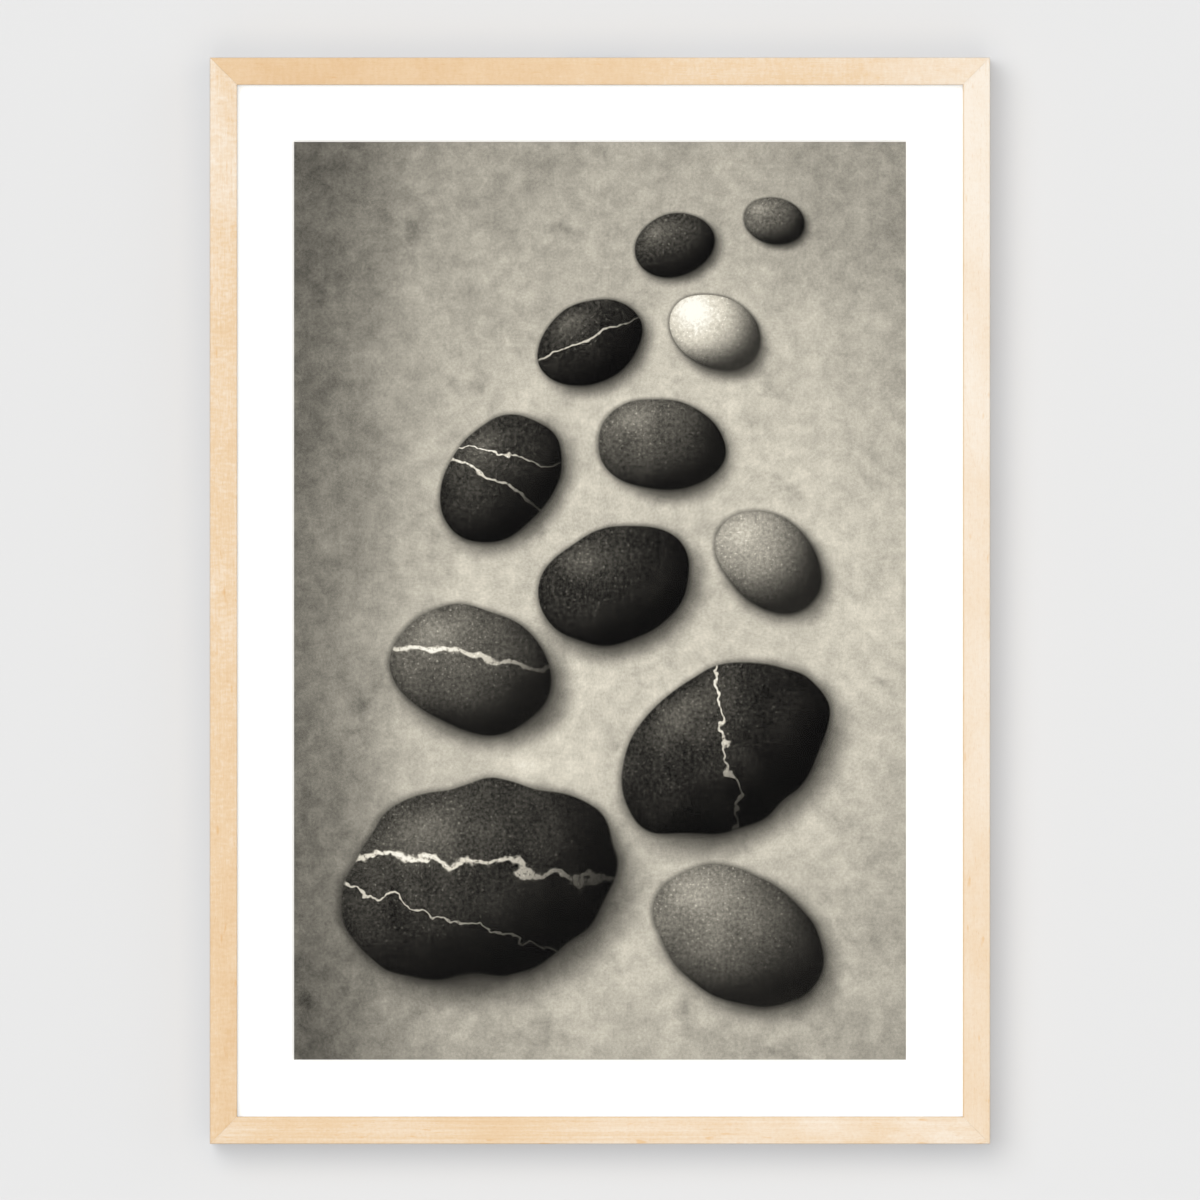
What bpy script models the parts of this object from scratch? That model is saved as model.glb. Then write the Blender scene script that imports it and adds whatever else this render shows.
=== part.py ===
"""A picture frame with a matted, glazed print, its backing, fixings and hanging plate.

Units are metres. X runs to the viewer's right, Z up, and the picture faces -Y.
The wall is the plane y = 0. The origin is on the rear face of the hanging plate,
halfway along it and halfway up the rim of the top rail.
"""

from math import cos, pi, radians, sin

import bmesh
import bpy
from mathutils import Matrix, Vector

# Driving sizes of the picture
INCH = 0.0254
WINDOW_WIDTH = 16 * INCH
WINDOW_HEIGHT = 24 * INCH
MAT_VISIBLE = 0.0377

# Driving sizes of the moulding
FACE_WIDTH = 0.018
FRAME_DEPTH = 0.025
LIP_THICKNESS = 0.0045
RABBET_WIDTH = 0.007
OUTER_ROUND = 0.0008
INNER_ROUND = 0.0005
BACK_CHAMFER = 0.0006
ROUND_STEPS = 5
MITRE_SETBACK = 0.00005

# Clearances
GAP = 0.0003
EDGE_CLEARANCE = 0.0004
OVERCUT = 0.002

# Sheets of the stack, from the front
GLAZING_THICKNESS = 0.002
MAT_THICKNESS = 0.0014
PRINT_THICKNESS = 0.0003
TAPE_THICKNESS = 0.0002
MOUNT_THICKNESS = 0.0014
PANEL_THICKNESS = 0.003
PRINT_MARGIN = 0.007

# Paper hinges, each a T with its foot behind the print's top edge
TAPE_SPACING = 0.26
TAPE_STEM_WIDTH = 0.025
TAPE_STEM_BELOW = 0.012
TAPE_STEM_ABOVE = 0.008
TAPE_BAR_WIDTH = 0.045
TAPE_BAR_HEIGHT = 0.008

# Framer's points, half in the rail and half over the back panel
POINT_WIDTH = 0.006
POINT_THICKNESS = 0.0005
POINT_IN_WOOD = 0.0065
POINT_OVER_PANEL = 0.0115
POINT_END_STEPS = 6
POINTS_LONG_RAIL = 4
POINTS_SHORT_RAIL = 3
POINT_PITCH_LONG = 0.170
POINT_PITCH_SHORT = 0.150

# V-nails across each mitre, measured from the outer corner along both rails
V_NAIL_CORNERS = (0.0025, 0.0062)
V_NAIL_LEG = 0.0036
V_NAIL_THICKNESS = 0.0006
V_NAIL_DEPTH = 0.010
V_NAIL_SUNK = 0.0003

# Hanging plate and its nails
BUMPER_THICKNESS = 0.003
HANGER_LENGTH = 0.062
HANGER_HEIGHT = 0.0095
HANGER_THICKNESS = 0.0008
HANGER_STEP_INNER = 0.0225
HANGER_STEP_OUTER = 0.0250
HANGER_CORNER = 0.002
TOOTH_COUNT = 13
TOOTH_PITCH = 0.003
TOOTH_DEPTH = 0.0016
NAIL_OFFSET = 0.0282
NAIL_SHANK_RADIUS = 0.0007
NAIL_HEAD_RADIUS = 0.0019
NAIL_HEAD_THICKNESS = 0.0009
NAIL_HEAD_RIM = 0.0003
NAIL_DOME_RADIUS = 0.0012
NAIL_DOME_DROP = 0.00013
NAIL_LENGTH = 0.012
NAIL_TIP = 0.002
NAIL_SIDES = 20

# Wall pads
BUMPER_RADIUS = 0.0045
BUMPER_CHAMFER = 0.0007
BUMPER_FROM_CORNER = 0.040
BUMPER_SIDES = 32

# Sizes that follow
SIGHT_WIDTH = WINDOW_WIDTH + 2 * MAT_VISIBLE
SIGHT_HEIGHT = WINDOW_HEIGHT + 2 * MAT_VISIBLE
OUTER_WIDTH = SIGHT_WIDTH + 2 * FACE_WIDTH
OUTER_HEIGHT = SIGHT_HEIGHT + 2 * FACE_WIDTH
RIM_WIDTH = FACE_WIDTH - RABBET_WIDTH
SHEET_WIDTH = SIGHT_WIDTH + 2 * (RABBET_WIDTH - EDGE_CLEARANCE)
SHEET_HEIGHT = SIGHT_HEIGHT + 2 * (RABBET_WIDTH - EDGE_CLEARANCE)
TOP_EDGE_Z = RIM_WIDTH / 2
CENTRE_Z = TOP_EDGE_Z - OUTER_HEIGHT / 2

# Depths along Y, from the wall at 0 to the front
FRAME_BACK = -BUMPER_THICKNESS
FRAME_FRONT = FRAME_BACK - FRAME_DEPTH
GLAZING_FRONT = FRAME_FRONT + LIP_THICKNESS + GAP
MAT_FRONT = GLAZING_FRONT + GLAZING_THICKNESS + GAP
PRINT_FRONT = MAT_FRONT + MAT_THICKNESS + GAP
TAPE_FRONT = PRINT_FRONT + PRINT_THICKNESS + GAP
MOUNT_FRONT = TAPE_FRONT + TAPE_THICKNESS + GAP
PANEL_FRONT = MOUNT_FRONT + MOUNT_THICKNESS + GAP
POINT_FRONT = PANEL_FRONT + PANEL_THICKNESS + GAP

# Colours as linear RGB, roughness and metallic
FINISHES = {
    "maple": ((0.80, 0.60, 0.40), 0.45, 0.0),
    "glass": ((0.90, 0.95, 0.93), 0.03, 0.0),
    "mat_paper": ((0.90, 0.90, 0.89), 0.90, 0.0),
    "print_paper": ((0.27, 0.25, 0.22), 0.60, 0.0),
    "tape_paper": ((0.85, 0.82, 0.74), 0.85, 0.0),
    "mount_paper": ((0.86, 0.85, 0.82), 0.90, 0.0),
    "hardboard": ((0.33, 0.20, 0.11), 0.75, 0.0),
    "zinc_steel": ((0.55, 0.56, 0.58), 0.35, 1.0),
    "brassed_steel": ((0.72, 0.53, 0.24), 0.30, 1.0),
    "felt": ((0.62, 0.58, 0.50), 0.95, 0.0),
}

# The rails as name, turn about Y, length along the rail, distance from the centre
RAILS = (
    ("rail_top", 0.0, OUTER_WIDTH, OUTER_HEIGHT / 2),
    ("rail_right", 90.0, OUTER_HEIGHT, OUTER_WIDTH / 2),
    ("rail_bottom", 180.0, OUTER_WIDTH, OUTER_HEIGHT / 2),
    ("rail_left", 270.0, OUTER_HEIGHT, OUTER_WIDTH / 2),
)

# The corners as name, side along X, side along Z and the two rails that meet there
CORNERS = (
    ("top_left", -1, 1, ("rail_top", "rail_left")),
    ("top_right", 1, 1, ("rail_top", "rail_right")),
    ("bottom_right", 1, -1, ("rail_bottom", "rail_right")),
    ("bottom_left", -1, -1, ("rail_bottom", "rail_left")),
)


def clear_scene():
    """Remove every object of the open file."""
    for obj in list(bpy.data.objects):
        bpy.data.objects.remove(obj, do_unlink=True)


def make_materials():
    """Return one Principled material for each finish, by name."""
    made = {}
    for name, (colour, roughness, metallic) in FINISHES.items():
        material = bpy.data.materials.new(name)
        material.use_nodes = True
        shader = material.node_tree.nodes["Principled BSDF"]
        shader.inputs["Base Color"].default_value = (*colour, 1.0)
        shader.inputs["Roughness"].default_value = roughness
        shader.inputs["Metallic"].default_value = metallic
        if name == "glass":
            shader.inputs["Transmission Weight"].default_value = 1.0
            shader.inputs["IOR"].default_value = 1.52
        made[name] = material
    return made


def add_empty(name, location, turn=0.0, parent=None):
    """Add an empty that others are placed from, turned about Y by degrees."""
    empty = bpy.data.objects.new(name, None)
    empty.location = location
    empty.rotation_euler = (0.0, radians(turn), 0.0)
    empty.parent = parent
    bpy.context.collection.objects.link(empty)
    return empty


def add_object(name, shape, material, parent=None, location=(0.0, 0.0, 0.0)):
    """Put a bmesh in a new object, with its faces pointing out."""
    bmesh.ops.recalc_face_normals(shape, faces=shape.faces)
    mesh = bpy.data.meshes.new(name)
    shape.to_mesh(mesh)
    shape.free()
    if material is not None:
        mesh.materials.append(material)
    obj = bpy.data.objects.new(name, mesh)
    obj.parent = parent
    obj.location = location
    bpy.context.collection.objects.link(obj)
    return obj


def add_cutter(name, shape, parent=None, location=(0.0, 0.0, 0.0)):
    """Put a bmesh in a hidden wire object that others are cut with."""
    cutter = add_object(name, shape, None, parent, location)
    cutter.display_type = "WIRE"
    cutter.hide_render = True
    return cutter


def cut(obj, cutter):
    """Cut one object with another by an exact Boolean difference."""
    modifier = obj.modifiers.new("cut_" + cutter.name, "BOOLEAN")
    modifier.operation = "DIFFERENCE"
    modifier.solver = "EXACT"
    modifier.object = cutter


def smooth(obj, angle=30.0):
    """Shade an object smooth, with its edges past an angle in degrees kept sharp."""
    obj.data.shade_smooth()
    obj.data.set_sharp_from_angle(angle=radians(angle))


def add_box(shape, low, high):
    """Add a box between two corners to a bmesh."""
    size = Vector(high) - Vector(low)
    middle = (Vector(high) + Vector(low)) / 2
    matrix = Matrix.Translation(middle) @ Matrix.Diagonal((*size, 1.0))
    bmesh.ops.create_cube(shape, size=1.0, matrix=matrix)


def add_plate(shape, outline, front, back):
    """Add a flat plate to a bmesh, from its outline in X and Z and two depths in Y."""
    near = [shape.verts.new((x, front, z)) for x, z in outline]
    far = [shape.verts.new((x, back, z)) for x, z in outline]
    shape.faces.new(near)
    shape.faces.new(list(reversed(far)))
    for index in range(len(outline)):
        following = (index + 1) % len(outline)
        shape.faces.new((near[index], far[index], far[following], near[following]))


def add_turned(shape, profile, sides):
    """Add a body turned about the Y axis, from its profile of radius and depth."""
    rings = []
    for radius, depth in profile:
        if radius == 0.0:
            rings.append([shape.verts.new((0.0, depth, 0.0))])
            continue
        angles = [2 * pi * step / sides for step in range(sides)]
        rings.append([shape.verts.new((radius * cos(a), depth, radius * sin(a))) for a in angles])
    for near, far in zip(rings, rings[1:]):
        for step in range(sides):
            following = (step + 1) % sides
            corners = [near[step % len(near)], near[following % len(near)]]
            corners += [far[following % len(far)], far[step % len(far)]]
            shape.faces.new(list(dict.fromkeys(corners)))


def arc(centre, radius, start, end, steps):
    """Return points on an arc from one angle to another, in degrees."""
    points = []
    for step in range(steps + 1):
        angle = radians(start + (end - start) * step / steps)
        points.append((centre[0] + radius * cos(angle), centre[1] + radius * sin(angle)))
    return points


def moulding_profile():
    """Return the moulding's section as (distance in from the outer edge, depth Y)."""
    front_outer = (OUTER_ROUND, FRAME_FRONT + OUTER_ROUND)
    front_inner = (FACE_WIDTH - INNER_ROUND, FRAME_FRONT + INNER_ROUND)
    lip_back = FRAME_FRONT + LIP_THICKNESS
    profile = [(BACK_CHAMFER, FRAME_BACK), (0.0, FRAME_BACK - BACK_CHAMFER)]
    profile += arc(front_outer, OUTER_ROUND, 180, 270, ROUND_STEPS)
    profile += arc(front_inner, INNER_ROUND, 270, 360, ROUND_STEPS)
    profile += [(FACE_WIDTH, lip_back), (RIM_WIDTH, lip_back), (RIM_WIDTH, FRAME_BACK)]
    return profile


def rail_shape(length):
    """Return a mitred rail along X, with its outer edge at z = 0 and its body below."""
    shape = bmesh.new()
    ends = []
    for side in (-1, 1):
        ring = []
        for inward, depth in moulding_profile():
            along = side * (length / 2 - inward - MITRE_SETBACK)
            ring.append(shape.verts.new((along, depth, -inward)))
        ends.append(ring)
    shape.faces.new(ends[0])
    shape.faces.new(list(reversed(ends[1])))
    count = len(ends[0])
    for index in range(count):
        following = (index + 1) % count
        corners = (ends[0][index], ends[1][index], ends[1][following], ends[0][following])
        shape.faces.new(corners)
    return shape


def point_places(length):
    """Return where the framer's points sit along a rail."""
    long_rail = length == OUTER_HEIGHT
    count = POINTS_LONG_RAIL if long_rail else POINTS_SHORT_RAIL
    pitch = POINT_PITCH_LONG if long_rail else POINT_PITCH_SHORT
    return [(index - (count - 1) / 2) * pitch for index in range(count)]


def point_outline():
    """Return a framer's point seen from behind, its barb up in the rail at z = 0."""
    half = POINT_WIDTH / 2
    shoulder = POINT_IN_WOOD - half
    tail = -(POINT_OVER_PANEL - half)
    outline = [(half, shoulder), (0.0, POINT_IN_WOOD), (-half, shoulder)]
    outline += arc((0.0, tail), half, 180, 360, POINT_END_STEPS)
    return outline


def point_slots_shape(places):
    """Return the slots that a rail's framer's points are driven into."""
    shape = bmesh.new()
    half = POINT_WIDTH / 2 + GAP
    front = POINT_FRONT - GAP
    back = POINT_FRONT + POINT_THICKNESS + GAP
    top = -RIM_WIDTH + POINT_IN_WOOD + GAP
    for place in places:
        add_box(shape, (place - half, front, -RIM_WIDTH - OVERCUT), (place + half, back, top))
    return shape


def v_nail_outline(corner, side_x, side_z, grow):
    """Return one V-nail seen from behind, its bend towards the frame's outer corner."""
    near = corner - grow
    inner = corner + V_NAIL_THICKNESS + grow
    far = corner + V_NAIL_LEG + grow
    outline = [(near, near), (far, near), (far, inner), (inner, inner), (inner, far), (near, far)]
    return [(-side_x * across, -side_z * down) for across, down in outline]


def hanger_shape():
    """Return the hanging plate: flat ends, a raised middle and teeth along its foot."""
    shape = bmesh.new()
    half_height = HANGER_HEIGHT / 2
    tooth_half = TOOTH_PITCH / 2
    columns = []
    for index in range(2 * TOOTH_COUNT + 1):
        foot = -half_height if index % 2 else -half_height + TOOTH_DEPTH
        columns.append(((index - TOOTH_COUNT) * tooth_half, 0.0, foot, half_height))
    low_back = FRAME_BACK + GAP + HANGER_THICKNESS
    end_columns = (
        (HANGER_STEP_INNER, 0.0, -half_height, half_height),
        (HANGER_STEP_OUTER, low_back, -half_height, half_height),
        (HANGER_LENGTH / 2 - HANGER_CORNER, low_back, -half_height, half_height),
        (HANGER_LENGTH / 2, low_back, -half_height + HANGER_CORNER, half_height - HANGER_CORNER),
    )
    for along, back, foot, head in end_columns:
        columns.append((along, back, foot, head))
        columns.append((-along, back, foot, head))
    columns.sort()
    rings = []
    for along, back, foot, head in columns:
        front = back - HANGER_THICKNESS
        corners = ((front, foot), (front, head), (back, head), (back, foot))
        rings.append([shape.verts.new((along, y, z)) for y, z in corners])
    for left, right in zip(rings, rings[1:]):
        for index in range(4):
            following = (index + 1) % 4
            shape.faces.new((left[index], right[index], right[following], left[following]))
    shape.faces.new(rings[0])
    shape.faces.new(list(reversed(rings[-1])))
    return shape


def nail_shape():
    """Return a small dome-headed nail along Y, pointing into the top rail."""
    shape = bmesh.new()
    head_front = FRAME_BACK + GAP + HANGER_THICKNESS + GAP
    head_rim = head_front + NAIL_HEAD_RIM
    head_back = head_front + NAIL_HEAD_THICKNESS
    tip = head_front - NAIL_LENGTH
    profile = (
        (0.0, head_back),
        (NAIL_DOME_RADIUS, head_back - NAIL_DOME_DROP),
        (NAIL_HEAD_RADIUS, head_rim),
        (NAIL_HEAD_RADIUS, head_front),
        (NAIL_SHANK_RADIUS, head_front),
        (NAIL_SHANK_RADIUS, tip + NAIL_TIP),
        (0.0, tip),
    )
    add_turned(shape, profile, NAIL_SIDES)
    return shape


def nail_hole_shape():
    """Return the hole for a hanger nail, through the plate and down into the rail."""
    shape = bmesh.new()
    radius = NAIL_SHANK_RADIUS + GAP
    top = FRAME_BACK + HANGER_THICKNESS + OVERCUT
    bottom = FRAME_BACK - NAIL_LENGTH
    add_turned(shape, ((0.0, top), (radius, top), (radius, bottom), (0.0, bottom)), NAIL_SIDES)
    return shape


def bumper_shape():
    """Return a round wall pad along Y, its rim eased on the wall side."""
    shape = bmesh.new()
    front = FRAME_BACK + GAP
    profile = (
        (0.0, 0.0),
        (BUMPER_RADIUS - BUMPER_CHAMFER, 0.0),
        (BUMPER_RADIUS, -BUMPER_CHAMFER),
        (BUMPER_RADIUS, front),
        (0.0, front),
    )
    add_turned(shape, profile, BUMPER_SIDES)
    return shape


def sheet_shape(width, height, front, thickness):
    """Return a flat sheet round the picture's centre."""
    shape = bmesh.new()
    low = (-width / 2, front, -height / 2)
    high = (width / 2, front + thickness, height / 2)
    add_box(shape, low, high)
    return shape


def mat_shape():
    """Return the window mat, whose opening is cut at 45 degrees and widens to the front."""
    shape = bmesh.new()
    back = MAT_FRONT + MAT_THICKNESS
    loops = []
    for width, height, depth in (
        (SHEET_WIDTH, SHEET_HEIGHT, MAT_FRONT),
        (SHEET_WIDTH, SHEET_HEIGHT, back),
        (WINDOW_WIDTH, WINDOW_HEIGHT, back),
        (WINDOW_WIDTH + 2 * MAT_THICKNESS, WINDOW_HEIGHT + 2 * MAT_THICKNESS, MAT_FRONT),
    ):
        corners = ((-1, -1), (1, -1), (1, 1), (-1, 1))
        loops.append([shape.verts.new((sx * width / 2, depth, sz * height / 2)) for sx, sz in corners])
    for index in range(4):
        near = loops[index]
        far = loops[(index + 1) % 4]
        for corner in range(4):
            following = (corner + 1) % 4
            shape.faces.new((near[corner], near[following], far[following], far[corner]))
    return shape


def tape_shape():
    """Return a paper hinge, a T whose foot is behind the print and whose bar is above it."""
    shape = bmesh.new()
    stem = TAPE_STEM_WIDTH / 2
    bar = TAPE_BAR_WIDTH / 2
    top = TAPE_STEM_ABOVE + TAPE_BAR_HEIGHT
    outline = (
        (-stem, -TAPE_STEM_BELOW),
        (stem, -TAPE_STEM_BELOW),
        (stem, TAPE_STEM_ABOVE),
        (bar, TAPE_STEM_ABOVE),
        (bar, top),
        (-bar, top),
        (-bar, TAPE_STEM_ABOVE),
        (-stem, TAPE_STEM_ABOVE),
    )
    add_plate(shape, outline, TAPE_FRONT, TAPE_FRONT + TAPE_THICKNESS)
    return shape


def build_rails(materials, centre):
    """Build the four rails with their framer's points, and return the rails by name."""
    rails = {}
    for name, turn, length, reach in RAILS:
        angle = radians(turn)
        place = (reach * sin(angle), 0.0, reach * cos(angle))
        base = add_empty(name + "_base", place, turn, centre)
        rail = add_object(name, rail_shape(length), materials["maple"], base)
        smooth(rail)
        rails[name] = rail
        places = point_places(length)
        cut(rail, add_cutter(name + "_point_slots", point_slots_shape(places), base))
        for number, along in enumerate(places, start=1):
            shape = bmesh.new()
            add_plate(shape, point_outline(), POINT_FRONT, POINT_FRONT + POINT_THICKNESS)
            point_name = f"point_{name.removeprefix('rail_')}_{number}"
            seat = (along, 0.0, -RIM_WIDTH)
            add_object(point_name, shape, materials["zinc_steel"], base, seat)
    return rails


def build_v_nails(materials, centre, rails):
    """Drive two V-nails across each mitre from the back."""
    top = FRAME_BACK - V_NAIL_SUNK
    bottom = top - V_NAIL_DEPTH
    for name, side_x, side_z, meeting in CORNERS:
        corner = (side_x * OUTER_WIDTH / 2, 0.0, side_z * OUTER_HEIGHT / 2)
        slots = bmesh.new()
        for number, inset in enumerate(V_NAIL_CORNERS, start=1):
            shape = bmesh.new()
            add_plate(shape, v_nail_outline(inset, side_x, side_z, 0.0), bottom, top)
            add_object(f"v_nail_{name}_{number}", shape, materials["zinc_steel"], centre, corner)
            grown = v_nail_outline(inset, side_x, side_z, GAP)
            add_plate(slots, grown, bottom - GAP, FRAME_BACK + OVERCUT)
        cutter = add_cutter(f"v_nail_slots_{name}", slots, centre, corner)
        for rail_name in meeting:
            cut(rails[rail_name], cutter)


def build_stack(materials, centre):
    """Build the sheets held in the rabbet, from the glazing to the back panel."""
    sheets = (
        ("glazing", SHEET_WIDTH, SHEET_HEIGHT, GLAZING_FRONT, GLAZING_THICKNESS, "glass"),
        (
            "print_sheet",
            WINDOW_WIDTH + 2 * PRINT_MARGIN,
            WINDOW_HEIGHT + 2 * PRINT_MARGIN,
            PRINT_FRONT,
            PRINT_THICKNESS,
            "print_paper",
        ),
        ("mount_board", SHEET_WIDTH, SHEET_HEIGHT, MOUNT_FRONT, MOUNT_THICKNESS, "mount_paper"),
        ("back_panel", SHEET_WIDTH, SHEET_HEIGHT, PANEL_FRONT, PANEL_THICKNESS, "hardboard"),
    )
    for name, width, height, front, thickness, finish in sheets:
        add_object(name, sheet_shape(width, height, front, thickness), materials[finish], centre)
    add_object("mat_board", mat_shape(), materials["mat_paper"], centre)
    print_top = WINDOW_HEIGHT / 2 + PRINT_MARGIN
    for name, side in (("left", -1), ("right", 1)):
        place = (side * TAPE_SPACING / 2, 0.0, print_top)
        add_object("hinge_tape_" + name, tape_shape(), materials["tape_paper"], centre, place)


def build_hanger(materials, top_rail):
    """Build the hanging plate at the origin and nail it to the top rail."""
    hanger = add_object("hanger", hanger_shape(), materials["brassed_steel"])
    for name, side in (("left", -1), ("right", 1)):
        place = (side * NAIL_OFFSET, 0.0, 0.0)
        hole = add_cutter("nail_hole_" + name, nail_hole_shape(), None, place)
        cut(hanger, hole)
        cut(top_rail, hole)
        nail = add_object("hanger_nail_" + name, nail_shape(), materials["brassed_steel"], None, place)
        smooth(nail)


def build_bumpers(materials, centre):
    """Build the two wall pads on the rim of the bottom rail."""
    for name, side in (("left", -1), ("right", 1)):
        across = side * (OUTER_WIDTH / 2 - BUMPER_FROM_CORNER)
        place = (across, 0.0, -OUTER_HEIGHT / 2 + RIM_WIDTH / 2)
        pad = add_object("bumper_" + name, bumper_shape(), materials["felt"], centre, place)
        smooth(pad)


def main():
    """Build the whole framed picture."""
    clear_scene()
    materials = make_materials()
    centre = add_empty("picture_centre", (0.0, 0.0, CENTRE_Z))
    rails = build_rails(materials, centre)
    build_v_nails(materials, centre, rails)
    build_stack(materials, centre)
    build_hanger(materials, rails["rail_top"])
    build_bumpers(materials, centre)


main()
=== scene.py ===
"""Looks of a matted, glazed art print in a maple frame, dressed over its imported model.

Units are metres. X runs to the viewer's right and Z up, the picture faces -Y and the
wall is the plane y = 0. The origin is the middle of the hanging plate's rear face.
"""

import logging
from dataclasses import dataclass
from enum import Enum
from math import atan2, cos, pi, radians, sin, sqrt
from typing import Iterable, Optional, Sequence, Union

import bmesh
import bpy
import numpy as np
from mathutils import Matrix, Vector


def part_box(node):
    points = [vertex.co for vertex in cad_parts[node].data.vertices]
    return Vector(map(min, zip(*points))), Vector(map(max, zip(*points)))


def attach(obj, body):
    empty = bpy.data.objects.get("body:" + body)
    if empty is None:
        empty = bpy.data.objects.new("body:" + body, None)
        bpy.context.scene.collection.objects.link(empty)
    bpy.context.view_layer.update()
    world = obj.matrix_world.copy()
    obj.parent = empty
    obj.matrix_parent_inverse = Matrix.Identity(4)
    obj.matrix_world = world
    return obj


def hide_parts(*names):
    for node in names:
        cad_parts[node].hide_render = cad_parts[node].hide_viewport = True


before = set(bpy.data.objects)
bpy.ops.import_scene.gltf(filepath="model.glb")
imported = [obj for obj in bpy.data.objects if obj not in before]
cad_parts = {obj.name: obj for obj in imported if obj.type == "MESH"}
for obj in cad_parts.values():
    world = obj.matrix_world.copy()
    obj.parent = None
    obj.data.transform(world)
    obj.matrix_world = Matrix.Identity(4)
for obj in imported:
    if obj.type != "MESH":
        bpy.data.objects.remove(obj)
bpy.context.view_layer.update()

LOG = logging.getLogger("framed_print")
BODY = "root"
BAKE_MAP = "OFBake"

# The moulding's section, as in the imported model
FACE_WIDTH = 0.018
RABBET_WIDTH = 0.007
LIP_THICKNESS = 0.0045
OUTER_ROUND = 0.0008
INNER_ROUND = 0.0005
BACK_CHAMFER = 0.0006
MITRE_SETBACK = 0.00004

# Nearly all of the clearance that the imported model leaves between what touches
CLEARANCE = 0.00028

# The window mat's opening
WINDOW_WIDTH = 0.4064
WINDOW_HEIGHT = 0.6096

Surface = tuple[np.ndarray, list, Optional[np.ndarray]]
Feed = Union[float, tuple, bpy.types.NodeSocket]


class Side(Enum):
    """The four sides of the frame, as the turn about Y in degrees that takes the top there."""

    TOP = 0.0
    RIGHT = 90.0
    BOTTOM = 180.0
    LEFT = 270.0

    @property
    def upright(self) -> bool:
        """Tell whether the side runs up and down."""
        return self in (Side.LEFT, Side.RIGHT)


def node_bounds(*names: str) -> tuple[np.ndarray, np.ndarray]:
    """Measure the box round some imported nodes.

    Args:
        names: The nodes' names.

    Returns:
        The lowest and the highest corner.
    """
    boxes = [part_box(name) for name in names]
    low = np.min([np.array(box[0]) for box in boxes], axis=0)
    high = np.max([np.array(box[1]) for box in boxes], axis=0)
    return low, high


def smoothstep(value: np.ndarray, low: float, high: float) -> np.ndarray:
    """Ease from 0 to 1 between two values, by 3 t^2 - 2 t^3 of the share t of the way.

    Args:
        value: The values to ease.
        low: Where the result leaves 0.
        high: Where the result reaches 1.

    Returns:
        The eased values.
    """
    share = np.clip((value - low) / (high - low), 0.0, 1.0)
    return share * share * (3.0 - 2.0 * share)


def grid_quads(rows: int, columns: int, wrap: bool = False) -> np.ndarray:
    """List the quads of a grid whose point (i, j) has the number i * columns + j.

    Args:
        rows: How many rows of points there are.
        columns: How many points each row has.
        wrap: Whether the last column joins the first.

    Returns:
        One row of four point numbers for each quad.
    """
    across = columns if wrap else columns - 1
    i, j = np.meshgrid(np.arange(rows - 1), np.arange(across), indexing="ij")
    following = (j + 1) % columns
    here, beyond = i * columns, (i + 1) * columns
    corners = (here + j, beyond + j, beyond + following, here + following)
    return np.stack(corners, axis=-1).reshape(-1, 4)


def grid_border(rows: int, columns: int) -> np.ndarray:
    """List the point numbers round the edge of a grid, in order.

    Args:
        rows: How many rows of points there are.
        columns: How many points each row has.

    Returns:
        The numbers of the border's points.
    """
    numbers = np.arange(rows * columns).reshape(rows, columns)
    sides = (numbers[0, :-1], numbers[:-1, -1], numbers[-1, :0:-1], numbers[:0:-1, 0])
    return np.concatenate(sides)


def closed_sheet(front: np.ndarray, back: np.ndarray) -> Surface:
    """Close two grids of points into a sheet with a rim.

    Each face of the sheet is one grid. The rim joins each border point of the first grid
    to the same border point of the second.

    Args:
        front: The front face's points, as rows by columns by 3.
        back: The back face's points, of the same shape.

    Returns:
        The points, the faces and no map.
    """
    rows, columns = front.shape[:2]
    count = rows * columns
    quads = grid_quads(rows, columns)
    border = grid_border(rows, columns)
    ahead = np.roll(border, -1)
    rim = np.stack([border, ahead, ahead + count, border + count], axis=-1)
    points = np.concatenate([front.reshape(-1, 3), back.reshape(-1, 3)])
    faces = np.concatenate([quads, quads[:, ::-1] + count, rim])
    return points, faces.tolist(), None


def turned(profile: np.ndarray, centre: tuple[float, float], sides: int) -> Surface:
    """Turn a profile about an axis that runs along Y.

    A point of the profile with radius r and depth y goes to x = r cos a, z = r sin a at
    each angle a. The profile's first and last points lie on the axis.

    Args:
        profile: Rows of radius and depth.
        centre: The axis's X and Z.
        sides: How many sides the turned body has.

    Returns:
        The points, the faces and no map.
    """
    angle = np.arange(sides) * 2.0 * pi / sides
    radius = profile[1:-1, 0][:, None]
    depth = np.repeat(profile[1:-1, 1][:, None], sides, axis=1)
    x = centre[0] + radius * np.cos(angle)
    z = centre[1] + radius * np.sin(angle)
    rings = np.stack([x, depth, z], axis=-1)
    poles = np.array([(centre[0], end, centre[1]) for end in profile[[0, -1], 1]])
    points = np.concatenate([rings.reshape(-1, 3), poles])
    first_pole = len(rings) * sides
    last_ring = first_pole - sides
    here = np.arange(sides)
    ahead = (here + 1) % sides
    first = np.stack([np.full(sides, first_pole), here, ahead], axis=-1)
    last = np.stack([np.full(sides, first_pole + 1), ahead + last_ring, here + last_ring], axis=-1)
    faces = grid_quads(len(rings), sides, wrap=True).tolist() + first.tolist() + last.tolist()
    return points, faces, None


def plate(outline: np.ndarray, front: float, back: float) -> Surface:
    """Carry a flat outline straight back between two depths.

    Args:
        outline: Rows of X and Z round the plate's edge.
        front: The front face's Y.
        back: The back face's Y.

    Returns:
        The points, the faces and no map.
    """
    count = len(outline)
    near = np.insert(outline, 1, front, axis=1)
    far = np.insert(outline, 1, back, axis=1)
    here = np.arange(count)
    ahead = (here + 1) % count
    walls = np.stack([here, ahead, ahead + count, here + count], axis=-1)
    faces = walls.tolist() + [here.tolist(), (here[::-1] + count).tolist()]
    return np.concatenate([near, far]), faces, None


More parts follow.
